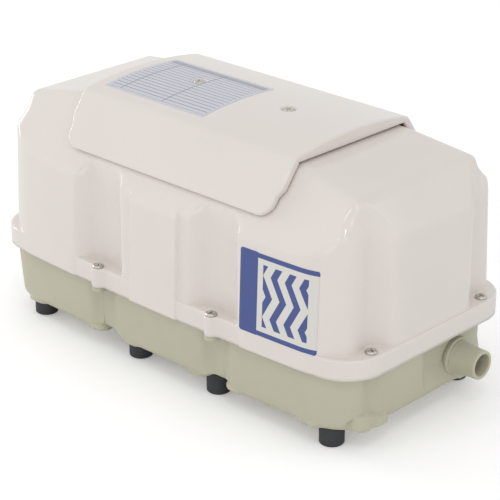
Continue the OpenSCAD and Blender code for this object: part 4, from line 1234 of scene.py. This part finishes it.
class PUMP_OT_windings(bpy.types.Operator):
    """Build the wound coils round the poles"""

    bl_idname = "air_pump.windings"
    bl_label = "Coil windings"

    def execute(self, context):
        for side in SIDES:
            node = "coil_windings_" + side
            parts = [self.coil(*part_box(node), up) for up in BOTH]
            add_piece("winding_" + side, parts, "base", "copper_wire", node)
        return {"FINISHED"}

    def coil(self, low, high, up):
        """Rounded loop round a pole: its outer face is scalloped by layers of wire."""
        inner, outer, wires, dip = 1.9 * MM, 11.8 * MM, 9, 0.35 * MM
        foot, top = 22.6 * MM, 31.9 * MM
        half = (high.x - low.x) / 2 - 12 * MM, 18 * MM
        t = np.linspace(0, 1, wires * 6 + 1)
        scallop = outer - dip * (1 - np.abs(np.sin(t * wires * math.pi)))
        face = np.stack([scallop, foot + (top - foot) * t], -1)
        profile = np.concatenate([[(inner, foot)], face, [(inner, top)], [(inner, foot)]])
        grid = rounded_grid(np.linspace(-1, 1, 24), bordered(half[1], 0.8, 8), half[0], 2.5 * MM)
        loop, outwards = outline_of(grid)
        flat = loop + profile[:, 0][:, None, None] * outwards + ((low.x + high.x) / 2, 0)
        height = np.broadcast_to(AXIS_Z + up * profile[:, 1][:, None, None], (*flat.shape[:2], 1))
        return surface(np.concatenate([flat, height], -1))


class PUMP_OT_hoses(bpy.types.Operator):
    """Build the rubber hoses between the heads and the tank"""

    bl_idname = "air_pump.hoses"
    bl_label = "Discharge hoses"

    def execute(self, context):
        bore, swell, lead = 8 * MM, 0.5 * MM, 0.3 * MM
        t = np.linspace(0, 1, 30)
        for side in SIDES:
            node = "discharge_hose_" + side
            low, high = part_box(node)
            outer = (high.x - low.x) / 2
            radius = outer - swell * (1 - np.abs(np.cos(t * 3 * math.pi)))
            face = np.stack([radius, low.z + lead + (high.z - low.z - 2 * lead) * t], -1)
            profile = np.concatenate([[(bore, low.z), (outer - MM, low.z)], face,
                                      [(outer - MM, high.z), (bore, high.z), (bore, low.z)]])
            centre = ((low.x + high.x) / 2, (low.y + high.y) / 2, 0)
            add_piece("hose_" + side, [revolve(profile, centre)], "base", "black_rubber", node)
        return {"FINISHED"}


NODES_OF_SLOT = {
    "tank_plastic": ["outlet_nut"],
    "black_rubber": ["outlet_seal", "cord_gland", "deck_gasket", "vibration_mounts", "piston_ring"],
    "bright_steel": ["deck_screws", "shaft", "valve_plate", "suction_flap", "discharge_flap", "head_screws",
                     "hose_clamps"],
    "zinc_plate": ["foot_screws", "deck_plate"],
    "cast_alloy": ["pump_frame", "piston", "cylinder_barrel", "cylinder_head"],
    "lamination_steel": ["stator_core", "armature"],
    "bronze": ["shaft_guide"],
    "nylon": ["terminal_block", "coil_bobbins", "spring_cap"],
}


class PUMP_OT_inner_finishes(bpy.types.Operator):
    """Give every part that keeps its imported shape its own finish"""

    bl_idname = "air_pump.inner_finishes"
    bl_label = "Inner finishes"

    def execute(self, context):
        for slot, names in NODES_OF_SLOT.items():
            for node in (name + end for name in names for end in ("", "_left", "_right")):
                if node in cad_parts:
                    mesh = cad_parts[node].data
                    mesh.materials.clear()
                    mesh.materials.append(finish(slot))
        return {"FINISHED"}


# Stage

CAMERA_AIM = (-3.61 * MM, 4.23 * MM, 93.47 * MM)
CAMERA_TURN = 43.91
CAMERA_RISE = 23.66
CAMERA_AWAY = 1663.5 * MM
CAMERA_LENS = 131.45
SENSOR = 36.0
FLOOR_LIFT = 0.24
FLOOR_TONE = (0.93, 0.93, 0.93)
FLOOR_PALE = (0.95, 0.95, 0.95)
BLACK = (0, 0, 0)
WHITE = (1, 1, 1)
AMBIENT = 0.72
LIGHTS = (
    ("key_light", (-0.5, -2.1, 1.9), 0.16, 2.6),
    ("high_light", (1.3, -1.2, 2.5), 0.22, 4),
    ("side_light", (2.3, -0.8, 1.2), 0.9, 4.2),
    ("back_light", (2.0, 1.4, 1.3), 0.9, 2),
    ("left_light", (-2.4, -0.6, 0.8), 0.9, 14),
    ("low_light", (0.4, -2.4, 0.45), 0.9, 3),
)


def paper(w, base):
    """Floor paper: faint clouds of tone, and a glow that only the camera sees."""
    seen = w.node("ShaderNodeLightPath", output="Is Camera Ray")
    return {
        "Base Color": w.noise(3, 2).mixed(base, FLOOR_PALE),
        "Emission Color": seen.mixed(BLACK, WHITE),
    }


class PUMP_OT_stage(bpy.types.Operator):
    """Set out the floor, the soft lights, the white surround and the camera"""

    bl_idname = "air_pump.stage"
    bl_label = "Stage"

    def execute(self, context):
        self.floor()
        self.surround(context)
        for name, place, extent, power in LIGHTS:
            self.lamp(context, name, Vector(place), extent, power)
        self.camera(context)
        context.scene.view_settings.view_transform = "Standard"
        return {"FINISHED"}

    def floor(self):
        """Pale disc under the object, white to the camera where no shadow falls."""
        turn = circle(96)
        ring = np.stack([np.cos(turn), np.sin(turn), 0 * turn], -1)
        parts = [surface(np.array([0.0, 0.6, 3.0, 12.0])[:, None, None] * ring)]
        paint = material("floor_paper", paper, FLOOR_TONE, Roughness=0.9, Specular_IOR_Level=0.1,
                         Emission_Strength=FLOOR_LIFT)
        add_object("floor", parts, paint)

    def surround(self, context):
        """White to the camera and in reflections, and an even soft light on everything else."""
        world = bpy.data.worlds.new("soft_surround")
        context.scene.world = world
        world.use_nodes = True
        tree = world.node_tree
        camera = Wire(tree).node("ShaderNodeLightPath", output="Is Camera Ray")
        seen = camera
        for ray in ("Is Transmission Ray", "Is Glossy Ray"):
            seen = camera.math("MAXIMUM", seen, camera.beside(ray))
        level = AMBIENT + (1 - AMBIENT) * seen
        back = tree.nodes["Background"]
        back.inputs["Color"].default_value = (*WHITE, 1)
        tree.links.new(level.socket, back.inputs["Strength"])

    def lamp(self, context, name, place, extent, power):
        """Square soft light that faces the object."""
        data = bpy.data.lights.new(name, "AREA")
        data.size = extent
        data.energy = power
        self.aimed(context, data, place, Vector(CAMERA_AIM) - place)

    def camera(self, context):
        """Camera at the photograph's angle, distance and lens."""
        turn, rise = math.radians(CAMERA_TURN), math.radians(CAMERA_RISE)
        back = Vector((math.sin(turn) * math.cos(rise), -math.cos(turn) * math.cos(rise), math.sin(rise)))
        data = bpy.data.cameras.new("camera")
        data.lens = CAMERA_LENS
        data.sensor_width = SENSOR
        context.scene.camera = self.aimed(context, data, Vector(CAMERA_AIM) + CAMERA_AWAY * back, -back)

    def aimed(self, context, data, place, ahead):
        """New light or camera at a place, looking ahead."""
        made = bpy.data.objects.new(data.name, data)
        made.location = place
        made.rotation_euler = ahead.to_track_quat("-Z", "Y").to_euler()
        context.scene.collection.objects.link(made)
        return made


GROUPS = (HoodSizes, BaseSizes, LabelSizes, Finishes, PumpSettings)
OPERATORS = (
    PUMP_OT_hood, PUMP_OT_filter_cover, PUMP_OT_filter_mat, PUMP_OT_tank_base, PUMP_OT_feet,
    PUMP_OT_outlet, PUMP_OT_screws, PUMP_OT_sheets, PUMP_OT_springs, PUMP_OT_windings,
    PUMP_OT_hoses, PUMP_OT_inner_finishes, PUMP_OT_stage,
)


class PUMP_PT_sidebar(bpy.types.Panel):
    """Sizes, colours and build steps of the air pump"""

    bl_idname = "PUMP_PT_sidebar"
    bl_label = "Air Pump"
    bl_space_type = "VIEW_3D"
    bl_region_type = "UI"
    bl_category = "Air Pump"

    def draw(self, context):
        settings = context.scene.air_pump
        for group in (settings.hood, settings.base, settings.labels, settings.finishes):
            box = self.layout.box()
            for key in group.bl_rna.properties.keys():
                if key not in ("rna_type", "name"):
                    box.prop(group, key)
        for operator in OPERATORS:
            self.layout.operator(operator.bl_idname)


CLASSES = (*GROUPS, *OPERATORS, PUMP_PT_sidebar)


def register():
    """Makes the settings, operators and panel known to Blender."""
    for made in CLASSES:
        bpy.utils.register_class(made)
    bpy.types.Scene.air_pump = PointerProperty(type=PumpSettings)


def unregister():
    """Takes them away again, last first."""
    del bpy.types.Scene.air_pump
    for made in reversed(CLASSES):
        bpy.utils.unregister_class(made)


def main():
    """Builds every piece in order."""
    register()
    for operator in OPERATORS:
        family, name = operator.bl_idname.split(".")
        getattr(getattr(bpy.ops, family), name)()


if __name__ == "__main__":
    main()
